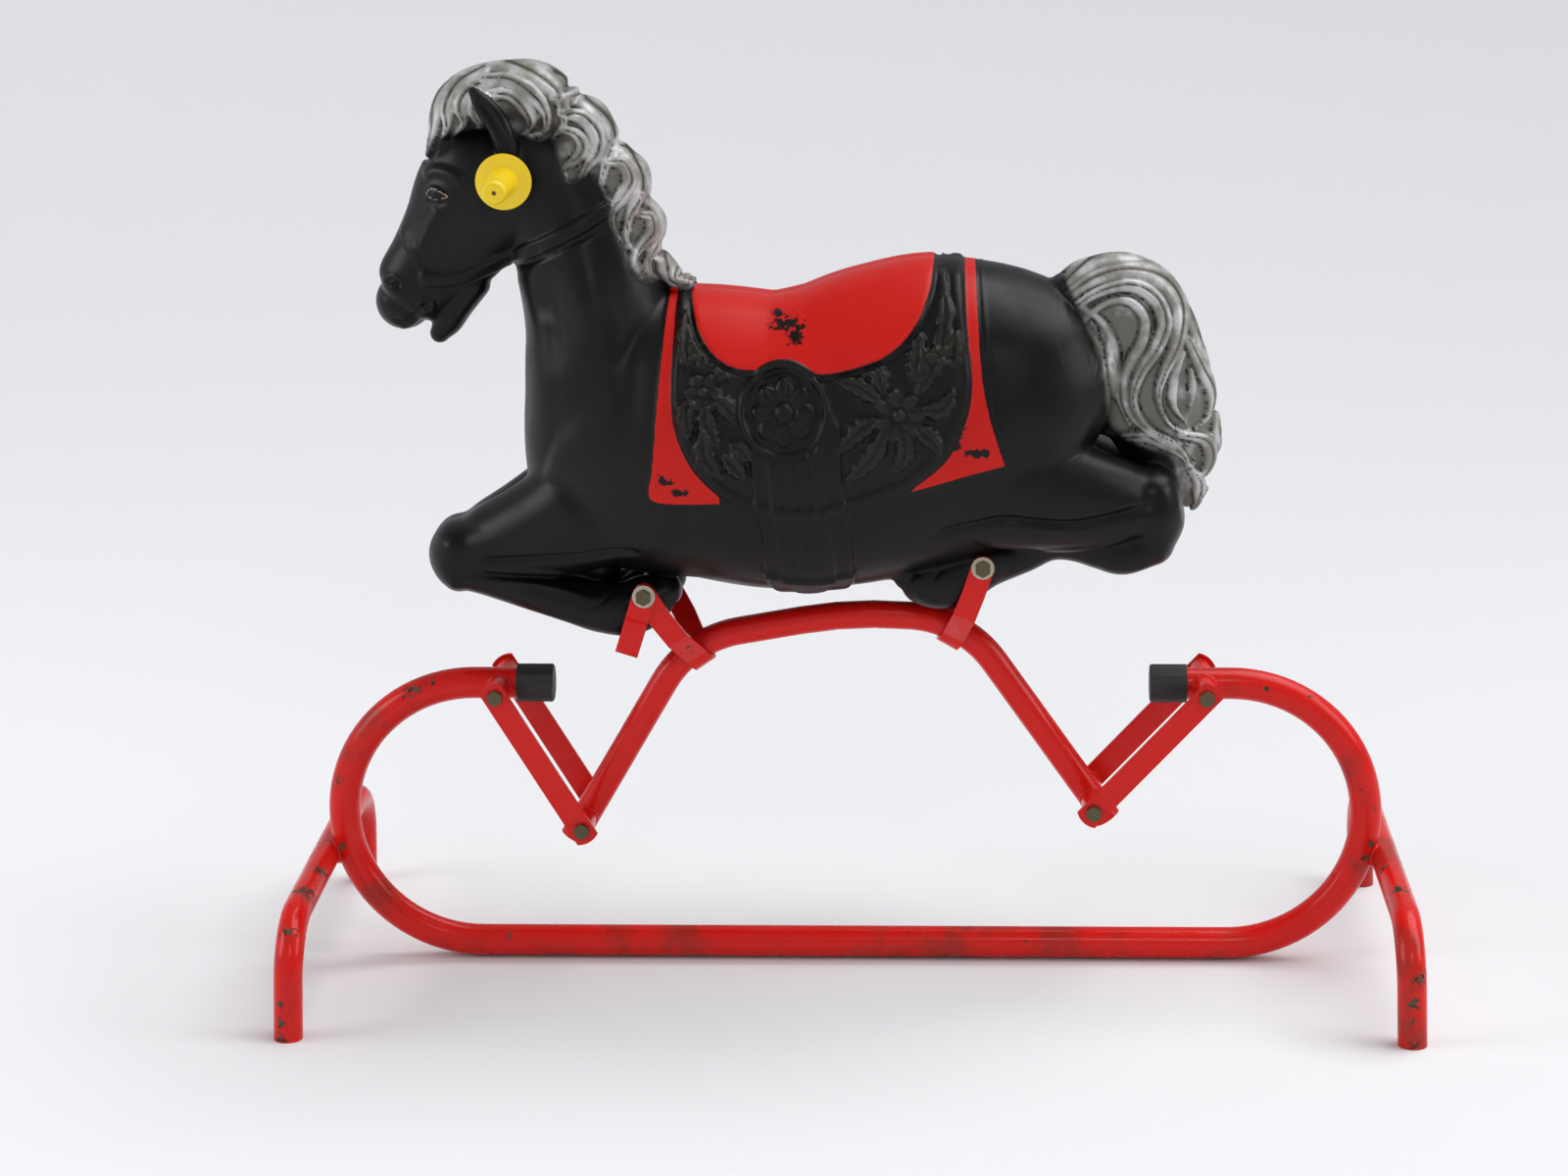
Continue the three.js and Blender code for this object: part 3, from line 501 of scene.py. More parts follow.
def lock(points, half_width, height, strands, root=0.6, tip=0.15):
    """Lays one lock over the others wherever it is the highest."""
    found, distance, share = near_curve(points, 1.05 * half_width)
    width = half_width * np.where(
        share < 0.45, root + (1 - root) * smoothstep(0, 0.45, share),
        tip + (1 - tip) * smoothstep(1, 0.45, share))
    u = distance / width
    dome = np.sqrt(np.clip(1 - u * u, 0, 1))
    groove = np.abs(np.sin(math.pi * strands * (u + 1) / 2)) ** 0.6
    value = height * (0.35 * dome + 0.65 * dome**0.5) * (0.8 + 0.2 * groove)
    higher = (np.abs(u) < 1) & (value > hair_relief[found])
    hair_relief[found[higher]] = value[higher]
    strand[found[higher]] = (groove * smoothstep(0, 0.45, dome))[higher]


for points, half_width, height, strands in [
    # forelock and brow
    ([[-326, 822], [-346, 812], [-358, 793], [-360, 770], [-368, 746]], 10, 7, 2),
    ([[-312, 824], [-334, 812], [-345, 793], [-345, 774], [-354, 756]], 10, 8, 2),
    ([[-300, 815], [-322, 808], [-332, 793], [-330, 776], [-341, 764]], 9, 8, 2),
    ([[-296, 806], [-312, 800], [-320, 788], [-316, 773], [-326, 768]], 8, 8, 2),
    # behind the ear
    ([[-318, 828], [-288, 826], [-262, 816], [-243, 797], [-243, 776], [-255, 762]], 10, 8, 2),
    ([[-312, 815], [-288, 814], [-268, 802], [-257, 786], [-260, 770], [-274, 766]], 9, 9, 2),
    ([[-306, 803], [-288, 802], [-276, 791], [-271, 778], [-280, 768], [-292, 768]], 8, 9, 2),
    # crest waves
    ([[-250, 800], [-228, 796], [-208, 780], [-200, 758], [-208, 738], [-212, 720], [-203, 706]],
     9, 8, 2),
    ([[-244, 786], [-226, 782], [-214, 768], [-214, 752], [-224, 738], [-228, 726], [-222, 716]],
     9, 9, 2),
    ([[-244, 772], [-232, 768], [-226, 757], [-232, 746], [-242, 740], [-240, 730]], 8, 8, 2),
    ([[-212, 762], [-192, 752], [-178, 732], [-178, 712], [-188, 694], [-190, 676], [-183, 664]],
     9, 8, 2),
    ([[-205, 744], [-192, 740], [-186, 726], [-194, 712], [-203, 700], [-202, 686], [-194, 674]],
     8, 9, 2),
    ([[-182, 714], [-166, 706], [-157, 688], [-162, 670], [-172, 656], [-170, 644], [-162, 636]],
     8, 8, 2),
    ([[-180, 698], [-170, 694], [-168, 680], [-178, 668], [-184, 656], [-178, 644]], 7, 8, 2),
    ([[-164, 674], [-152, 664], [-148, 650], [-150, 638], [-138, 630]], 7, 7, 2),
    ([[-172, 664], [-162, 656], [-160, 644], [-156, 634], [-146, 630]], 5.5, 7, 1),
    # tail
    ([[184, 628], [210, 650], [244, 658], [278, 651], [300, 629], [305, 600], [304, 580]], 9, 8, 2),
    ([[186, 618], [214, 638], [246, 645], [276, 636], [292, 612], [289, 582], [277, 556],
      [272, 532], [282, 510], [300, 500]], 9.5, 9, 2),
    ([[192, 608], [216, 626], [246, 633], [268, 622], [277, 600], [270, 578], [256, 556],
      [250, 532], [260, 510], [282, 496], [302, 490]], 8, 9.5, 2),
    ([[206, 603], [226, 618], [246, 619], [259, 604], [257, 584], [246, 564], [241, 543],
      [247, 518], [266, 500], [288, 488]], 6.5, 9, 1),
    ([[204, 614], [221, 601], [231, 580], [234, 556], [237, 530], [248, 506]], 6, 8, 1),
    ([[300, 606], [310, 580], [324, 556], [332, 534], [330, 508], [320, 494]], 8, 8, 2),
    ([[298, 584], [312, 556], [322, 534], [318, 514], [306, 504]], 6.5, 8, 2),
    ([[294, 572], [286, 548], [286, 526], [300, 508]], 6, 7.5, 1),
    ([[302, 556], [304, 536], [300, 520]], 5, 6, 1),
    ([[330, 512], [328, 496], [336, 474], [328, 454], [312, 438]], 8, 8, 2),
    ([[292, 500], [314, 494], [321, 478], [314, 462], [303, 466], [306, 476]], 7, 8.5, 2),
    ([[238, 494], [262, 498], [284, 490], [298, 476], [300, 458]], 7.5, 8, 2),
    ([[300, 470], [312, 452], [308, 430], [298, 418]], 7, 7, 2),
]:
    lock(points, half_width, height, strands)

MANE_EDGE = [
    [-392, 748], [-368, 741], [-358, 750], [-349, 761], [-337, 764], [-326, 769], [-312, 769],
    [-301, 773], [-283, 768], [-265, 762], [-254, 764], [-249, 748], [-247, 736], [-238, 727],
    [-221, 732], [-210, 718], [-205, 702], [-203, 686], [-193, 670], [-188, 651], [-176, 640],
    [-160, 639], [-152, 630], [-134, 628],
]
TAIL_EDGE = [
    [180, 640], [190, 626], [204, 606], [215, 587], [222, 565], [226, 537], [230, 512],
    [240, 497], [262, 489], [282, 482], [290, 462], [292, 440], [299, 410],
]
mane_area = inside([MANE_EDGE, [[-134, 628], [-110, 900], [-420, 900], [-392, 748]]])
tail_area = inside([TAIL_EDGE, [[299, 410], [380, 420], [360, 700], [180, 700], [180, 640]]])
hair_area = np.maximum(mane_area, tail_area)
ear_reach = inside([[[-304, 740], [-309, 772], [-331, 812]], [[-331, 812], [-292, 798], [-272, 748]],
                    [[-272, 748], [-304, 740]]])
on_ear = smoothstep(-1, 1, ear_reach) * smoothstep(45, 47, np.abs(py))
hair = np.maximum(smoothstep(-1.5, 2, mane_area), smoothstep(-2, 10, tail_area)) * (1 - on_ear)
HAIR_DEPTH = 6.5  # how far the surface sinks between the locks
relief += hair * (hair_relief - HAIR_DEPTH)
ridge([[-291, 752], [-295, 768], [-303, 783], [-314, 799]], 5, -4)
# Waves along the crest
for crest in [
    [[-236, 812], [-243, 798], [-240, 782]], [[-188, 766], [-200, 755], [-204, 742]],
    [[-158, 716], [-171, 707], [-176, 694]], [[-146, 672], [-160, 666], [-166, 656]],
]:
    ridge(crest, 7, -4.5, fade=0.05)

# Parting line of the moulding
relief += 0.5 * np.exp(-(py / 1.3) ** 2)

lift = np.maximum(np.clip(1.5 * facing + 0.25, 0, 1), 0.9 * hair)
horse_points = horse_points + flank * (relief * lift)[:, None]
horse_points = relax(horse_points, horse_quads, 1, 0.35)


# ---- Materials ----
class Shading:
    """A Principled material whose sockets are fed by small node chains."""

    def __init__(self, name, colour, roughness, metallic=0.0, coat=0.0, specular=0.5):
        self.material = bpy.data.materials.new(name)
        self.material.use_nodes = True
        self.tree = self.material.node_tree
        self.shader = self.tree.nodes["Principled BSDF"]
        self.feed("Base Color", (*colour, 1))
        self.feed("Roughness", roughness)
        self.feed("Metallic", metallic)
        self.feed("Coat Weight", coat)
        self.feed("Specular IOR Level", specular)
        self.coordinates = None

    def set(self, node, socket, value):
        target = node.inputs[socket]
        if isinstance(value, bpy.types.NodeSocket):
            self.tree.links.new(value, target)
        else:
            target.default_value = value

    def feed(self, socket, value):
        self.set(self.shader, socket, value)

    def attribute(self, name):
        node = self.tree.nodes.new("ShaderNodeAttribute")
        node.attribute_name = name
        return node.outputs["Fac"]

    def place(self):
        """Coordinates of the piece itself, in metres."""
        if self.coordinates is None:
            self.coordinates = self.tree.nodes.new("ShaderNodeTexCoord").outputs["Object"]
        return self.coordinates

    def distance(self, point):
        """Distance from a fixed point of the piece, in metres."""
        node = self.tree.nodes.new("ShaderNodeVectorMath")
        node.operation = "DISTANCE"
        self.set(node, 0, self.place())
        self.set(node, 1, point)
        return node.outputs["Value"]

    def noise(self, scale, detail=3.0, roughness=0.55):
        node = self.tree.nodes.new("ShaderNodeTexNoise")
        self.set(node, "Vector", self.place())
        self.set(node, "Scale", scale)
        self.set(node, "Detail", detail)
        self.set(node, "Roughness", roughness)
        return node.outputs["Fac"]

    def maths(self, operation, *values):
        node = self.tree.nodes.new("ShaderNodeMath")
        node.operation = operation
        for n, value in enumerate(values):
            self.set(node, n, value)
        return node.outputs[0]

    def scaled_sum(self, first, scale, second):
        return self.maths("MULTIPLY_ADD", second, scale, first)

    def ramp(self, value, low, high, from_value=0.0, to_value=1.0):
        node = self.tree.nodes.new("ShaderNodeMapRange")
        node.interpolation_type = "SMOOTHSTEP"
        for socket, number in (("Value", value), ("From Min", low), ("From Max", high),
                               ("To Min", from_value), ("To Max", to_value)):
            self.set(node, socket, number)
        return node.outputs["Result"]

    def mix(self, share, first, second):
        """Mixes two colours, or two numbers."""
        node = self.tree.nodes.new("ShaderNodeMix")
        colours = isinstance(first, tuple) or getattr(first, "type", "") == "RGBA"
        node.data_type = "RGBA" if colours else "FLOAT"
        sockets = [s for s in node.inputs if s.enabled]
        values = [share, first, second]
        for socket, value in zip(sockets, values):
            if isinstance(value, bpy.types.NodeSocket):
                self.tree.links.new(value, socket)
            else:
                socket.default_value = (*value, 1) if isinstance(value, tuple) else value
        return next(s for s in node.outputs if s.enabled)

    def bump(self, height, distance, strength=1.0):
        node = self.tree.nodes.new("ShaderNodeBump")
        self.set(node, "Height", height)
        self.set(node, "Distance", distance)
        self.set(node, "Strength", strength)
        self.feed("Normal", node.outputs["Normal"])


RED = (0.60, 0.007, 0.004)
BLACK = (0.0035, 0.0035, 0.0038)
RUST = (0.036, 0.022, 0.013)


def plain(name, colour, roughness, metallic=0.0, coat=0.0, grain=0.0):
    """A finish with a slightly uneven gloss."""
    finish = Shading(name, colour, roughness, metallic, coat)
    uneven = finish.noise(60, 4)
    finish.feed("Roughness", finish.ramp(uneven, 0.3, 0.7, roughness - 0.06, roughness + 0.08))
    if grain:
        finish.bump(finish.noise(900, 2), grain * MM)
    return finish.material


def enamel(name, chipping, scuffs=()):
    """Glossy red paint, chipped through to rusty steel. Scuffs are (x, y, z, reach) in millimetres."""
    paint = Shading(name, RED, 0.22, coat=0.1, specular=0.2)
    patches = paint.ramp(paint.noise(11, 3), 0.5, 0.72, 0, 0.16)
    specks = paint.maths("ADD", paint.noise(85, 7, 0.7), patches)
    for x, y, z, reach in scuffs:
        scuff = paint.ramp(paint.distance((x * MM, y * MM, z * MM)), 0, reach * MM, 0.31, 0)
        specks = paint.maths("MAXIMUM", specks, paint.maths("ADD", paint.noise(190, 8, 0.75), scuff))
    chip = paint.ramp(specks, chipping, chipping + 0.02)
    shade = paint.mix(paint.noise(6, 2), RED, (0.68, 0.010, 0.006))
    if scuffs:
        grime = paint.ramp(paint.noise(17, 6, 0.65), 0.47, 0.66, 0, 0.55)
        shade = paint.mix(grime, shade, (0.16, 0.026, 0.014))
    steel = paint.mix(paint.ramp(paint.noise(140, 4), 0.4, 0.6), RUST, (0.085, 0.07, 0.045))
    paint.feed("Base Color", paint.mix(chip, shade, steel))
    paint.feed("Roughness", paint.mix(chip, paint.ramp(paint.noise(30, 3), 0.3, 0.7, 0.2, 0.34), 0.7))
    paint.feed("Coat Weight", paint.mix(chip, 0.1, 0.0))
    paint.bump(chip, -0.12 * MM, 0.8)
    return paint.material


def horse_finish():
    """Black moulded plastic with sprayed silver hair and brushed red saddle cloth."""
    skin = Shading("horse_plastic", BLACK, 0.4, specular=0.2)
    scuffs = skin.ramp(skin.noise(7, 4), 0.45, 0.75)
    black = skin.mix(scuffs, BLACK, (0.0065, 0.006, 0.0055))
    # Painted highlight: the raised tooling on the saddle cloth is painted lighter and browner.
    black = skin.mix(skin.attribute("tooling"), black, (0.022, 0.019, 0.013))
    black_gloss = skin.ramp(skin.noise(22, 4), 0.35, 0.7, 0.3, 0.44)
    fine = skin.noise(260, 5, 0.6)

    ragged = skin.maths("MULTIPLY_ADD", skin.noise(190, 3), 1.6, -0.8)
    red_edge = skin.maths("ADD", skin.attribute("red_edge"), ragged)
    red = skin.ramp(red_edge, -0.3, 0.3)
    worn = skin.scaled_sum(skin.attribute("wear"), 0.9, skin.noise(150, 6, 0.75))
    specks = skin.ramp(
        skin.scaled_sum(skin.noise(330, 6, 0.7), 0.25, skin.noise(15, 2)), 0.83, 0.85)
    kept = skin.maths("SUBTRACT", 1.0, skin.maths("MAXIMUM", skin.ramp(worn, 0.93, 0.97), specks))
    red = skin.maths("MULTIPLY", red, kept)

    drift = skin.maths("MULTIPLY_ADD", skin.noise(75, 4), 7.0, -3.5)
    silver_edge = skin.maths("ADD", skin.attribute("hair_edge"), drift)
    spray = skin.ramp(silver_edge, -3, 6)
    strand = skin.attribute("strand")
    # Painted shade on the hair: grooves between strands are painted dark and warm and strand tops
    # lighter, partly tarnish and unsprayed black in the grooves, partly painted shade.
    groove_patina_and_shade = skin.ramp(skin.scaled_sum(strand, 0.3, fine), 0.2, 1.0)
    silver_patina_and_shade = skin.mix(groove_patina_and_shade, (0.040, 0.034, 0.022), (0.24, 0.23, 0.205))
    # Painted highlight: strand tops are painted bright, bluish silver, partly silver rubbed clean.
    rub_and_highlight = skin.ramp(skin.scaled_sum(skin.noise(45, 5), 0.35, strand), 0.66, 0.98)
    silver_colour = skin.mix(rub_and_highlight, silver_patina_and_shade, (0.52, 0.52, 0.53))
    bare = skin.ramp(skin.scaled_sum(skin.noise(110, 6, 0.7), 0.3, skin.noise(9, 2)), 0.85, 0.88)
    silver = skin.maths("MULTIPLY", spray, skin.maths("SUBTRACT", 1.0, bare))
    silver = skin.maths("MULTIPLY", silver, skin.ramp(groove_patina_and_shade, 0.0, 0.35, 0.55, 1.0))

    red_paint = skin.mix(skin.noise(12, 3), (0.50, 0.006, 0.003), (0.60, 0.010, 0.005))
    colour = skin.mix(red, black, red_paint)
    colour = skin.mix(silver, colour, silver_colour)
    lid = skin.ramp(skin.attribute("eye_line"), 0.0, 0.5)
    colour = skin.mix(skin.maths("MULTIPLY", lid, skin.ramp(fine, 0.3, 0.5, 0.35, 1)), colour,
                      (0.36, 0.29, 0.20))
    skin.feed("Base Color", colour)
    gloss = skin.mix(red, black_gloss, 0.42)
    skin.feed("Roughness", skin.mix(silver, gloss, skin.ramp(fine, 0.3, 0.7, 0.4, 0.55)))
    skin.feed("Metallic", skin.maths("MULTIPLY", silver, 0.4))
    skin.bump(fine, 0.12 * MM, 0.6)
    return skin.material


horse = mesh_object("horse", horse_points * MM, horse_quads.tolist(), "swing", horse_finish())
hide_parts("horse_shell")


def add_attribute(piece, name, values):
    layer = piece.data.attributes.new(name, "FLOAT", "POINT")
    layer.data.foreach_set("value", np.asarray(values, np.float32))


# Red paint: the seat, and the cloth in front of and behind the skirt.
cloth_edge = np.minimum(np.maximum(front_cloth, rear_cloth) - 1.5, -skirt - 1)
red_edge = np.maximum(np.minimum(seat - 1, -rim), cloth_edge)
CHIPS = [
    # x, z, half width, half height
    (-50, 600, 18, 7), (-42, 592, 9, 7), (-58, 606, 9, 4), (99, 526, 6, 20), (96, 508, 5, 8),
    (114, 500, 13, 5), (-157, 474, 9, 6), (-146, 464, 12, 5),
]
wear = np.zeros(len(px))
for x, z, half_x, half_z in CHIPS:
    spot = np.hypot((px - x) / half_x, (pz - z) / half_z)
    wear = np.maximum(wear, 0.64 - 0.2 * spot)
# Painted highlight mask: where the tooled relief stands up.
tooling = 0.6 * smoothstep(2, 5, tooled_relief)
eye_found, eye_distance, _ = near_curve(
    [[-364, 715.5], [-358, 720.5], [-352, 719], [-345, 715], [-351, 712.5], [-358, 712]], 4, True)
eye_line = np.full(len(px), -4.0)
eye_line[eye_found] = 0.8 - np.abs(eye_distance)
add_attribute(horse, "red_edge", red_edge)
# The silver thins out down the forelock and at the root of the tail.
fade = 7 * smoothstep(785, 745, pz) * smoothstep(-300, -325, px)
fade += 9 * smoothstep(208, 182, px) * (px > 100)
add_attribute(horse, "hair_edge", np.where(on_ear > 0.5, -10, np.minimum(hair_area, 8) - fade))
add_attribute(horse, "strand", strand)
add_attribute(horse, "wear", wear)
add_attribute(horse, "tooling", tooling)
add_attribute(horse, "eye_line", eye_line)

# ---- Finishes of the frame ----
FINISHES = {
    "red_paint": enamel("red_enamel", 0.755),
    "black_rubber": plain("black_rubber", (0.012, 0.012, 0.012), 0.62, grain=0.15),
    "yellow_plastic": plain("yellow_plastic", (0.85, 0.60, 0.004), 0.42, coat=0.1),
    "nylon": plain("nylon", (0.52, 0.48, 0.36), 0.5),
    "bolt_steel": plain("bolt_steel", (0.11, 0.09, 0.05), 0.5, 0.7, grain=0.3),
    "bare_steel": plain("bare_steel", (0.4, 0.4, 0.39), 0.4, 0.95),
}
loop_enamel = enamel("loop_enamel", 0.755, [
    (-400, -14, 262, 26), (-382, -12, 270, 16), (-472, -14, 175, 14), (-468, -14, 109, 16),
    (-317, -12, 24, 10), (374, -14, 262, 8), (413, -14, 254, 12), (436, -14, 242, 12),
    (471, -14, 196, 12), (461, -14, 167, 9), (475, -14, 150, 10), (473, -14, 115, 13),
    (466, -14, 103, 12), (400, 14, 260, 22), (-440, 14, 60, 20), (120, 10, 3, 22),
])
foot_enamel = enamel("foot_enamel", 0.755, [
    (-487, -200, 96, 22), (-492, -220, 36, 13), (-493, -220, 20, 13), (-493, -220, 4, 16),
    (-480, -140, 112, 34), (-476, -80, 108, 26), (475, -60, 112, 20), (484, -125, 112, 24),
    (486, -165, 104, 20), (492, -214, 63, 20), (487, -220, 42, 16), (486, -220, 26, 12),
    (487, -220, 6, 14), (-490, 215, 12, 22), (490, 214, 20, 26), (485, 120, 108, 30),
])
weld_enamel = enamel("weld_enamel", 0.74)


def finished(piece, slot, *nodes):
    """Hides the CAD nodes that a piece stands for, and returns the piece. The slot is not used."""
    if nodes:
        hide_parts(*nodes)
    return piece


def soften(piece, width, segments=3):
    """Rounds the sharp edges of a piece."""
    bevel = piece.modifiers.new("edges", "BEVEL")
    bevel.width = width * MM
    bevel.segments = segments
    bevel.limit_method = "ANGLE"
    bevel.angle_limit = math.radians(32)
    bevel.harden_normals = True


# ---- Tubes ----
TUBE_SIDES = 40
TUBE_WALL = 1.6
BASE_TUBE_RADIUS = 14.3
LEG_TUBE_RADIUS = 12.7
SWING_TUBE_RADIUS = 12.7
LOOP_BOTTOM_Z, LOOP_TOP_Z = 15.3, 263.5
LOOP_HALF_LENGTH, LOOP_MOUTH_HALF = 466.8, 273
LOOP_BEND_RADIUS = (LOOP_TOP_Z - LOOP_BOTTOM_Z) / 2
FOOT_X, FOOT_Y = 488.3, 208
ARCH_LEAN, ARCH_SPLAY = math.radians(2), math.radians(2)
ARCH_CENTRE_Z, ARCH_BEND_RADIUS = 100, 52
UPPER_PIVOT_X, LINK_LENGTH = 318, 146
FRONT_LINK_ANGLE, REAR_LINK_ANGLE = math.radians(30.9), math.radians(42.9)
SLEEVE_RADIUS, SLEEVE_END, SLEEVE_BORE = 10, 43.4, 8.6
SIDEWAYS = np.array([0.0, 1.0, 0.0])


def flat(x, z, y=0.0):
    return np.array([x, y, z], float)


def unit(vector):
    return vector / np.linalg.norm(vector)


FRONT_UPPER, REAR_UPPER = flat(-UPPER_PIVOT_X, LOOP_TOP_Z), flat(UPPER_PIVOT_X, LOOP_TOP_Z)
FRONT_LOWER = FRONT_UPPER + LINK_LENGTH * flat(math.sin(FRONT_LINK_ANGLE), -math.cos(FRONT_LINK_ANGLE))
REAR_LOWER = REAR_UPPER + LINK_LENGTH * flat(-math.sin(REAR_LINK_ANGLE), -math.cos(REAR_LINK_ANGLE))


def bent_path(corners, radii, step=math.radians(4)):
    """Straight runs between corners, each inner corner rounded to its bend radius."""
    path = [corners[0]]
    for before, corner, after, radius in zip(corners, corners[1:], corners[2:], radii):
        into, out = unit(corner - before), unit(after - corner)
        turn = math.acos(np.clip(into @ out, -1, 1))
        side = unit(out - (out @ into) * into)
        start = corner - radius * math.tan(turn / 2) * into
        for angle in np.linspace(0, turn, max(4, math.ceil(turn / step))):
            path.append(start + radius * (math.sin(angle) * into + (1 - math.cos(angle)) * side))
    path.append(corners[-1])
    kept = [path[0]]
    kept += [p for last, p in zip(path, path[1:]) if np.linalg.norm(p - last) > 0.01]
    return np.array(kept)


def directions(path):
    ways = np.array([path[min(i + 1, len(path) - 1)] - path[max(i - 1, 0)] for i in range(len(path))])
    return ways / np.linalg.norm(ways, axis=1, keepdims=True)


def ring_faces(rings, sides, close=False):
    """Quads between rings of points; close joins the last ring to the first."""
    faces = []
    for r in range(rings if close else rings - 1):
        for s in range(sides):
            t = (s + 1) % sides
            after = (r + 1) % rings
            faces.append((r * sides + s, r * sides + t, after * sides + t, after * sides + s))
    return faces


def tube(name, path, normal, radius, body, slot, nodes, on_floor=False, paint=None):
    """An open-ended tube with a wall. on_floor cuts both ends level with the floor."""
    ways = directions(path)
    across = np.cross(ways, normal)
    across /= np.linalg.norm(across, axis=1, keepdims=True)
    turn = np.linspace(0, 2 * math.pi, TUBE_SIDES, endpoint=False)[:, None]
    skins = []
    for r in (radius, radius - TUBE_WALL):
        rings = [p + r * (np.cos(turn) * a + np.sin(turn) * normal) for p, a in zip(path, across)]
        if on_floor:
            for ring, way in ((rings[0], ways[0]), (rings[-1], ways[-1])):
                ring -= (ring[:, 2] / way[2])[:, None] * way
        skins.append(rings)
    loop = skins[0] + skins[1][::-1]
    points = np.vstack(loop) * MM
    made = mesh_object(
        name, points, ring_faces(len(loop), TUBE_SIDES, close=True), body,
        paint or FINISHES[slot], smooth_angle=40)
    return finished(made, slot, *nodes)


LOOP_PATH = bent_path([
    flat(-LOOP_MOUTH_HALF, LOOP_TOP_Z), flat(-LOOP_HALF_LENGTH, LOOP_TOP_Z),
    flat(-LOOP_HALF_LENGTH, LOOP_BOTTOM_Z), flat(LOOP_HALF_LENGTH, LOOP_BOTTOM_Z),
    flat(LOOP_HALF_LENGTH, LOOP_TOP_Z), flat(LOOP_MOUTH_HALF, LOOP_TOP_Z),
], [LOOP_BEND_RADIUS] * 4)
tube("base_loop", LOOP_PATH, SIDEWAYS, BASE_TUBE_RADIUS, "base", "red_paint", ["base_loop_tube"],
     paint=loop_enamel)

SWING_END = 25  # how far the tube goes on past its lower pivots
SWING_FRONT_CORNER, SWING_CROWN, SWING_REAR_CORNER = flat(-146, 304.5), flat(5, 331), flat(103, 322.5)
SWING_PATH = bent_path([
    FRONT_LOWER + SWING_END * unit(FRONT_LOWER - SWING_FRONT_CORNER), SWING_FRONT_CORNER,
    SWING_CROWN, SWING_REAR_CORNER, REAR_LOWER + SWING_END * unit(REAR_LOWER - SWING_REAR_CORNER),
], [100, 380, 100])
tube("swing_frame", SWING_PATH, SIDEWAYS, SWING_TUBE_RADIUS, "swing", "red_paint",
     ["swing_frame_tube"])


def weld(name, points, radius, body):
    """A lumpy bead along a closed line."""
    points = np.asarray(points)
    ways = np.roll(points, -1, 0) - np.roll(points, 1, 0)
    ways /= np.linalg.norm(ways, axis=1, keepdims=True)
    outward = points - points.mean(0)
    outward -= (outward * ways).sum(1)[:, None] * ways
    outward /= np.linalg.norm(outward, axis=1, keepdims=True)
    other = np.cross(ways, outward)
    sides = 10
    turn = np.linspace(0, 2 * math.pi, sides, endpoint=False)[:, None]
    rings = []
    for n, (p, a, b) in enumerate(zip(points, outward, other)):
        # two waves out of step make the bead uneven
        size = radius * (1 + 0.22 * math.sin(n * 1.9) + 0.12 * math.sin(n * 0.7))
        rings.append(p + size * (np.cos(turn) * a + np.sin(turn) * b))
    bead = mesh_object(
        name, np.vstack(rings) * MM, ring_faces(len(rings), sides, close=True), body, weld_enamel)
    return finished(bead, "red_paint")


def leg_arch(end, label):
    lean = np.array([-end * math.sin(ARCH_LEAN), 0, math.cos(ARCH_LEAN)])
    rise = ARCH_CENTRE_Z / math.cos(ARCH_LEAN)

    def place(side, up):
        return flat(end * FOOT_X, 0, side * (FOOT_Y - up * math.tan(ARCH_SPLAY))) + up * lean

    path = bent_path(
        [place(-1, 0), place(-1, rise), place(1, rise), place(1, 0)], [ARCH_BEND_RADIUS] * 2)
    tube(f"{label}_arch", path, np.cross(SIDEWAYS, lean), LEG_TUBE_RADIUS, "base", "red_paint",
         [f"{label}_leg_arch"], on_floor=True, paint=foot_enamel)
    bar = flat(end * FOOT_X, 0) + rise * lean
    nearest = LOOP_PATH[np.argmin(np.linalg.norm(LOOP_PATH - bar, axis=1))]
    towards = nearest - bar
    apart = np.linalg.norm(towards)
    towards /= apart
    along = np.cross(towards, SIDEWAYS)
    limit = math.acos((apart - BASE_TUBE_RADIUS) / LEG_TUBE_RADIUS) * 0.995
    halves = []
    for half in (-1, 1):
        line = []
        for turn in np.linspace(-limit, limit, 14):
            reach = apart - LEG_TUBE_RADIUS * math.cos(turn)
            out = math.sqrt(max(BASE_TUBE_RADIUS**2 - reach**2, 0))
            line.append(bar + LEG_TUBE_RADIUS * (math.cos(turn) * towards + math.sin(turn) * along)
                        + half * out * SIDEWAYS)
        halves.append(line[::-half])
    weld(f"{label}_arch_weld", halves[0] + halves[1], 2.6, "base")


leg_arch(-1, "front")
leg_arch(1, "rear")


LATHE_SIDES = 48


def lathe(name, profile, place, body, slot, nodes, flip=False):
    """A turned piece on an axis along Y: rows of radius and distance along the axis."""
    turn = np.linspace(0, 2 * math.pi, LATHE_SIDES, endpoint=False)
    rings = [
        np.stack([r * np.cos(turn), np.full(LATHE_SIDES, -d if flip else d), r * np.sin(turn)], 1)
        for r, d in profile
    ]
    points = (np.vstack(rings) + np.asarray(place, float)) * MM
    faces = ring_faces(len(rings), LATHE_SIDES, close=True)
    if flip:
        faces = [face[::-1] for face in faces]
    made = mesh_object(name, points, faces, body, FINISHES[slot], smooth_angle=35)
    return finished(made, slot, *nodes)


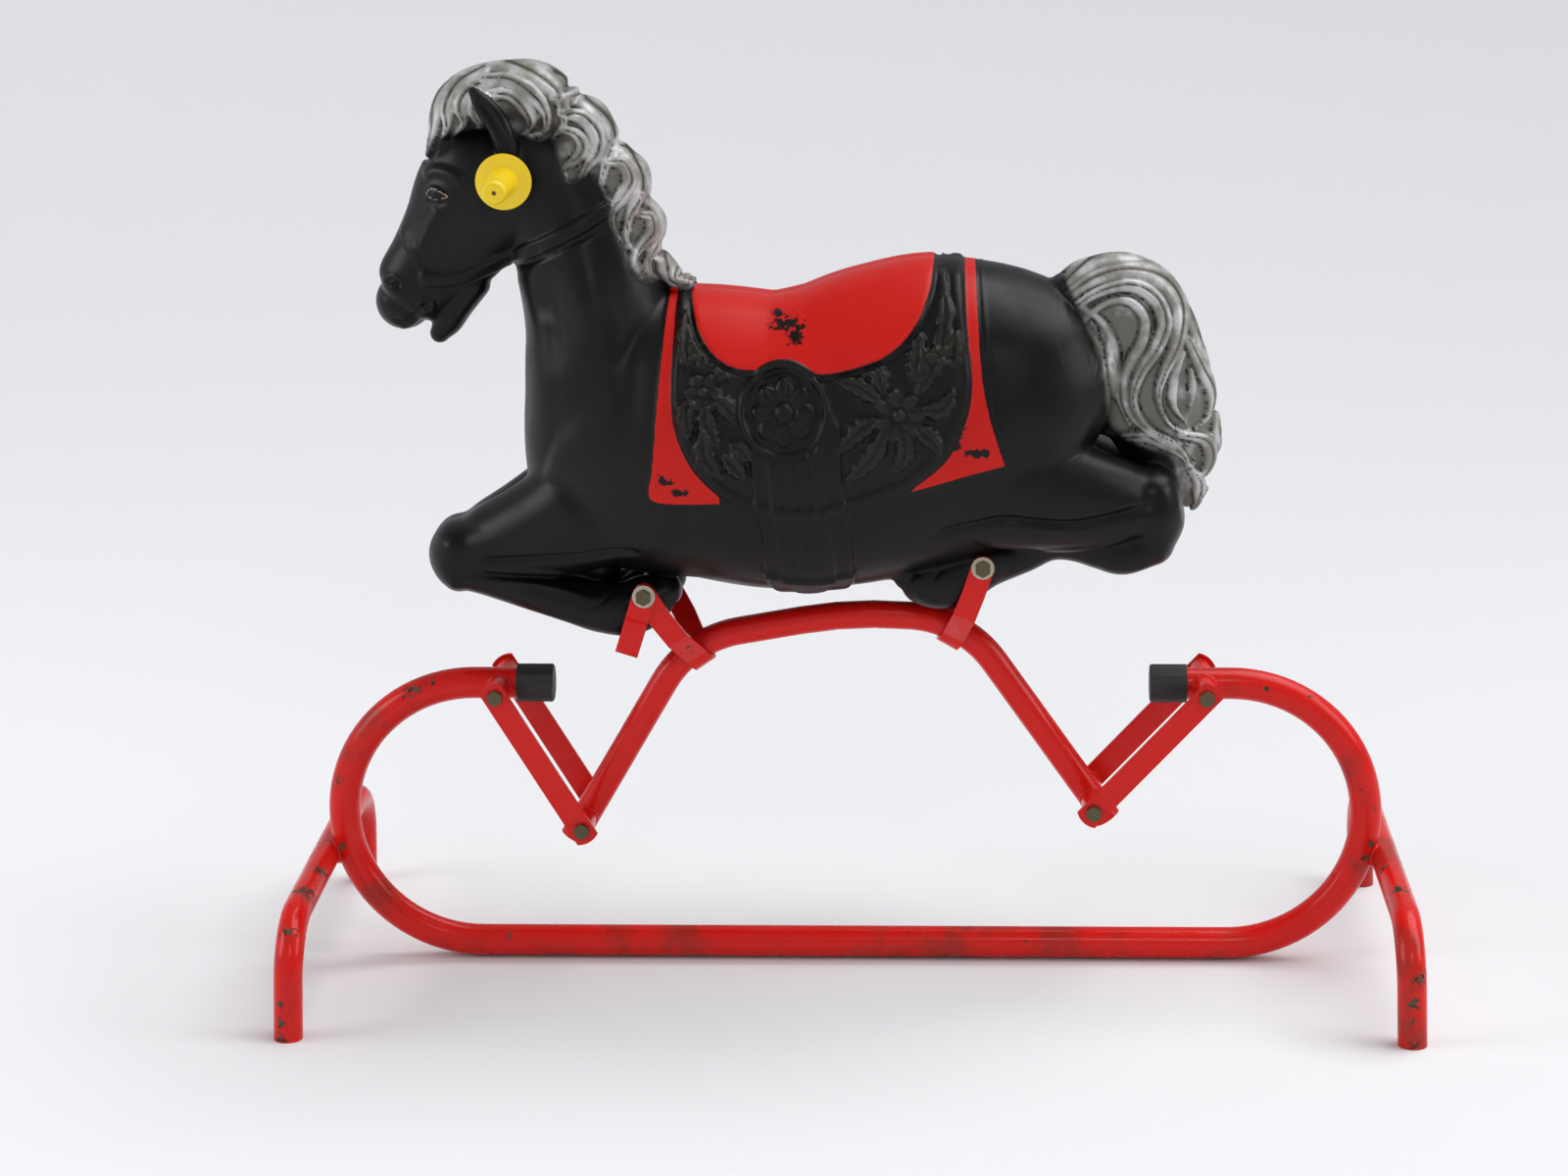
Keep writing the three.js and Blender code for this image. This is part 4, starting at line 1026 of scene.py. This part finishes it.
def sleeve(name, pivot, tube_radius, tube_way, body, node):
    """A cross sleeve through a tube, with a weld round it on each side."""
    edge = 0.8
    lathe(name, [
        (SLEEVE_BORE, -SLEEVE_END), (SLEEVE_RADIUS - edge, -SLEEVE_END),
        (SLEEVE_RADIUS, -SLEEVE_END + edge), (SLEEVE_RADIUS, SLEEVE_END - edge),
        (SLEEVE_RADIUS - edge, SLEEVE_END), (SLEEVE_BORE, SLEEVE_END),
    ], pivot, body, "red_paint", [node])
    upward = np.cross(tube_way, SIDEWAYS)
    for label, side in (("left", -1), ("right", 1)):
        rim = []
        for turn in np.linspace(0, 2 * math.pi, 30, endpoint=False):
            height = SLEEVE_RADIUS * math.sin(turn)
            out = math.sqrt(tube_radius**2 - height**2)
            rim.append(pivot + SLEEVE_RADIUS * math.cos(turn) * tube_way + height * upward
                       + side * out * SIDEWAYS)
        weld(f"{name}_weld_{label}", rim, 1.9, body)


sleeve("front_upper_sleeve", FRONT_UPPER, BASE_TUBE_RADIUS, flat(1, 0), "base", "front_base_sleeve")
sleeve("rear_upper_sleeve", REAR_UPPER, BASE_TUBE_RADIUS, flat(1, 0), "base", "rear_base_sleeve")
sleeve("front_lower_sleeve", FRONT_LOWER, SWING_TUBE_RADIUS,
       unit(SWING_FRONT_CORNER - FRONT_LOWER), "swing", "front_swing_sleeve")
sleeve("rear_lower_sleeve", REAR_LOWER, SWING_TUBE_RADIUS,
       unit(SWING_REAR_CORNER - REAR_LOWER), "swing", "rear_swing_sleeve")

# ---- Grips ----
HANDLE = (-293.9, 729.4)
GRIP_START_Y = 56
GRIP_PROFILE = [
    # radius, distance along the grip
    (6.3, 0), (23, 0), (24.2, 0.6), (24.5, 1.6), (24.2, 2.8), (23, 3.5), (14.5, 3.5), (12.8, 4.2),
    (11.8, 6), (11.4, 9), (11.2, 30), (10.9, 60), (10.6, 64), (9.9, 66.6), (8.6, 68), (2.6, 68),
    (2, 67.4), (2, 61), (6.3, 61),
]
for label, side in (("left", -1), ("right", 1)):
    lathe(f"grip_{label}", GRIP_PROFILE, flat(*HANDLE, side * GRIP_START_Y), "swing",
          "yellow_plastic", [f"{label}_grip"], flip=side < 0)

# ---- CAD pieces that are shown as they are, with rounded edges and their finishes ----
SLOT_WORDS = [
    ("cap", "black_rubber"), ("bush", "nylon"), ("washer", "nylon"), ("bolt", "bolt_steel"),
    ("nut", "bolt_steel"), ("spacer", "bare_steel"), ("rod", "bare_steel"),
]
for node in [o for o in bpy.data.objects if "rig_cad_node" in o and not o.hide_render]:
    slot = next((slot for word, slot in SLOT_WORDS if word in node.name), "red_paint")
    node.data.materials.clear()
    node.data.materials.append(FINISHES[slot])
    if "link" in node.name or "strap" in node.name:
        soften(node, 0.9)
    elif "cap" in node.name:
        soften(node, 1.6)
    elif "bolt" in node.name or "nut" in node.name:
        soften(node, 0.5, 2)

# ---- Camera, floor and light ----
CAMERA_PLACE = Vector((0.0969, -3.1147, 1.1766))
CAMERA_YAW = math.radians(2.873)
CAMERA_PITCH = math.radians(14.804)
CAMERA_ROLL = math.radians(0.742)
CAMERA_LENS = 82.26

camera_data = bpy.data.cameras.new("camera")
camera_data.lens = CAMERA_LENS
camera = bpy.data.objects.new("camera", camera_data)
bpy.context.collection.objects.link(camera)
forward = Vector((
    -math.sin(CAMERA_YAW) * math.cos(CAMERA_PITCH),
    math.cos(CAMERA_YAW) * math.cos(CAMERA_PITCH),
    -math.sin(CAMERA_PITCH),
))
level_right = Vector((math.cos(CAMERA_YAW), math.sin(CAMERA_YAW), 0))
down = forward.cross(level_right)
right = math.cos(CAMERA_ROLL) * level_right + math.sin(CAMERA_ROLL) * down
tilted_down = -math.sin(CAMERA_ROLL) * level_right + math.cos(CAMERA_ROLL) * down
camera.matrix_world = (
    Matrix.Translation(CAMERA_PLACE) @ Matrix((right, -tilted_down, -forward)).transposed().to_4x4())
bpy.context.scene.camera = camera

floor_paint = Shading("floor_paint", (0.76, 0.765, 0.78), 0.9).material
# A flat disc that rises in a curve to a wall far behind the camera, all round.
FLOOR_RADIUS, RISE_RADIUS, WALL_HEIGHT, FLOOR_SIDES = 20, 10, 24, 96
floor_profile = [(0.5, 0), (FLOOR_RADIUS, 0)]
for turn in np.linspace(0, math.pi / 2, 10)[1:]:
    floor_profile.append((
        FLOOR_RADIUS + RISE_RADIUS * math.sin(turn), RISE_RADIUS * (1 - math.cos(turn))))
floor_profile.append((FLOOR_RADIUS + RISE_RADIUS, WALL_HEIGHT))
floor_rings = [
    (r * math.cos(turn), r * math.sin(turn), z) for r, z in floor_profile
    for turn in np.linspace(0, 2 * math.pi, FLOOR_SIDES, endpoint=False)
]
floor_faces = ring_faces(len(floor_profile), FLOOR_SIDES) + [tuple(reversed(range(FLOOR_SIDES)))]
floor = mesh_object("floor", floor_rings, floor_faces, None, floor_paint)


def lamp(name, kind, place, target, power, **settings):
    data = bpy.data.lights.new(name, kind)
    data.energy = power
    for setting, value in settings.items():
        setattr(data, setting, value)
    light = bpy.data.objects.new(name, data)
    light.location = place
    light.rotation_euler = (Vector(target) - Vector(place)).to_track_quat("-Z", "Y").to_euler()
    bpy.context.collection.objects.link(light)


MIDDLE = (0, 0, 0.45)
lamp("sky", "SUN", (1.2, 0.5, 3.0), MIDDLE, 2.1, angle=math.radians(50))
lamp("left_window", "AREA", (-2.6, -0.7, 1.5), MIDDLE, 20, shape="DISK", size=1.5)
lamp("right_window", "AREA", (2.6, -0.5, 1.5), MIDDLE, 20, shape="DISK", size=1.5)
lamp("front", "AREA", (0.5, -3.0, 2.6), MIDDLE, 8, shape="DISK", size=0.8)
world = bpy.data.worlds.new("studio")
world.use_nodes = True
glow = world.node_tree.nodes["Background"].inputs
glow["Color"].default_value = (0.95, 0.97, 1.0, 1)
glow["Strength"].default_value = 0.36
bpy.context.scene.world = world
bpy.context.scene.view_settings.view_transform = "Standard"
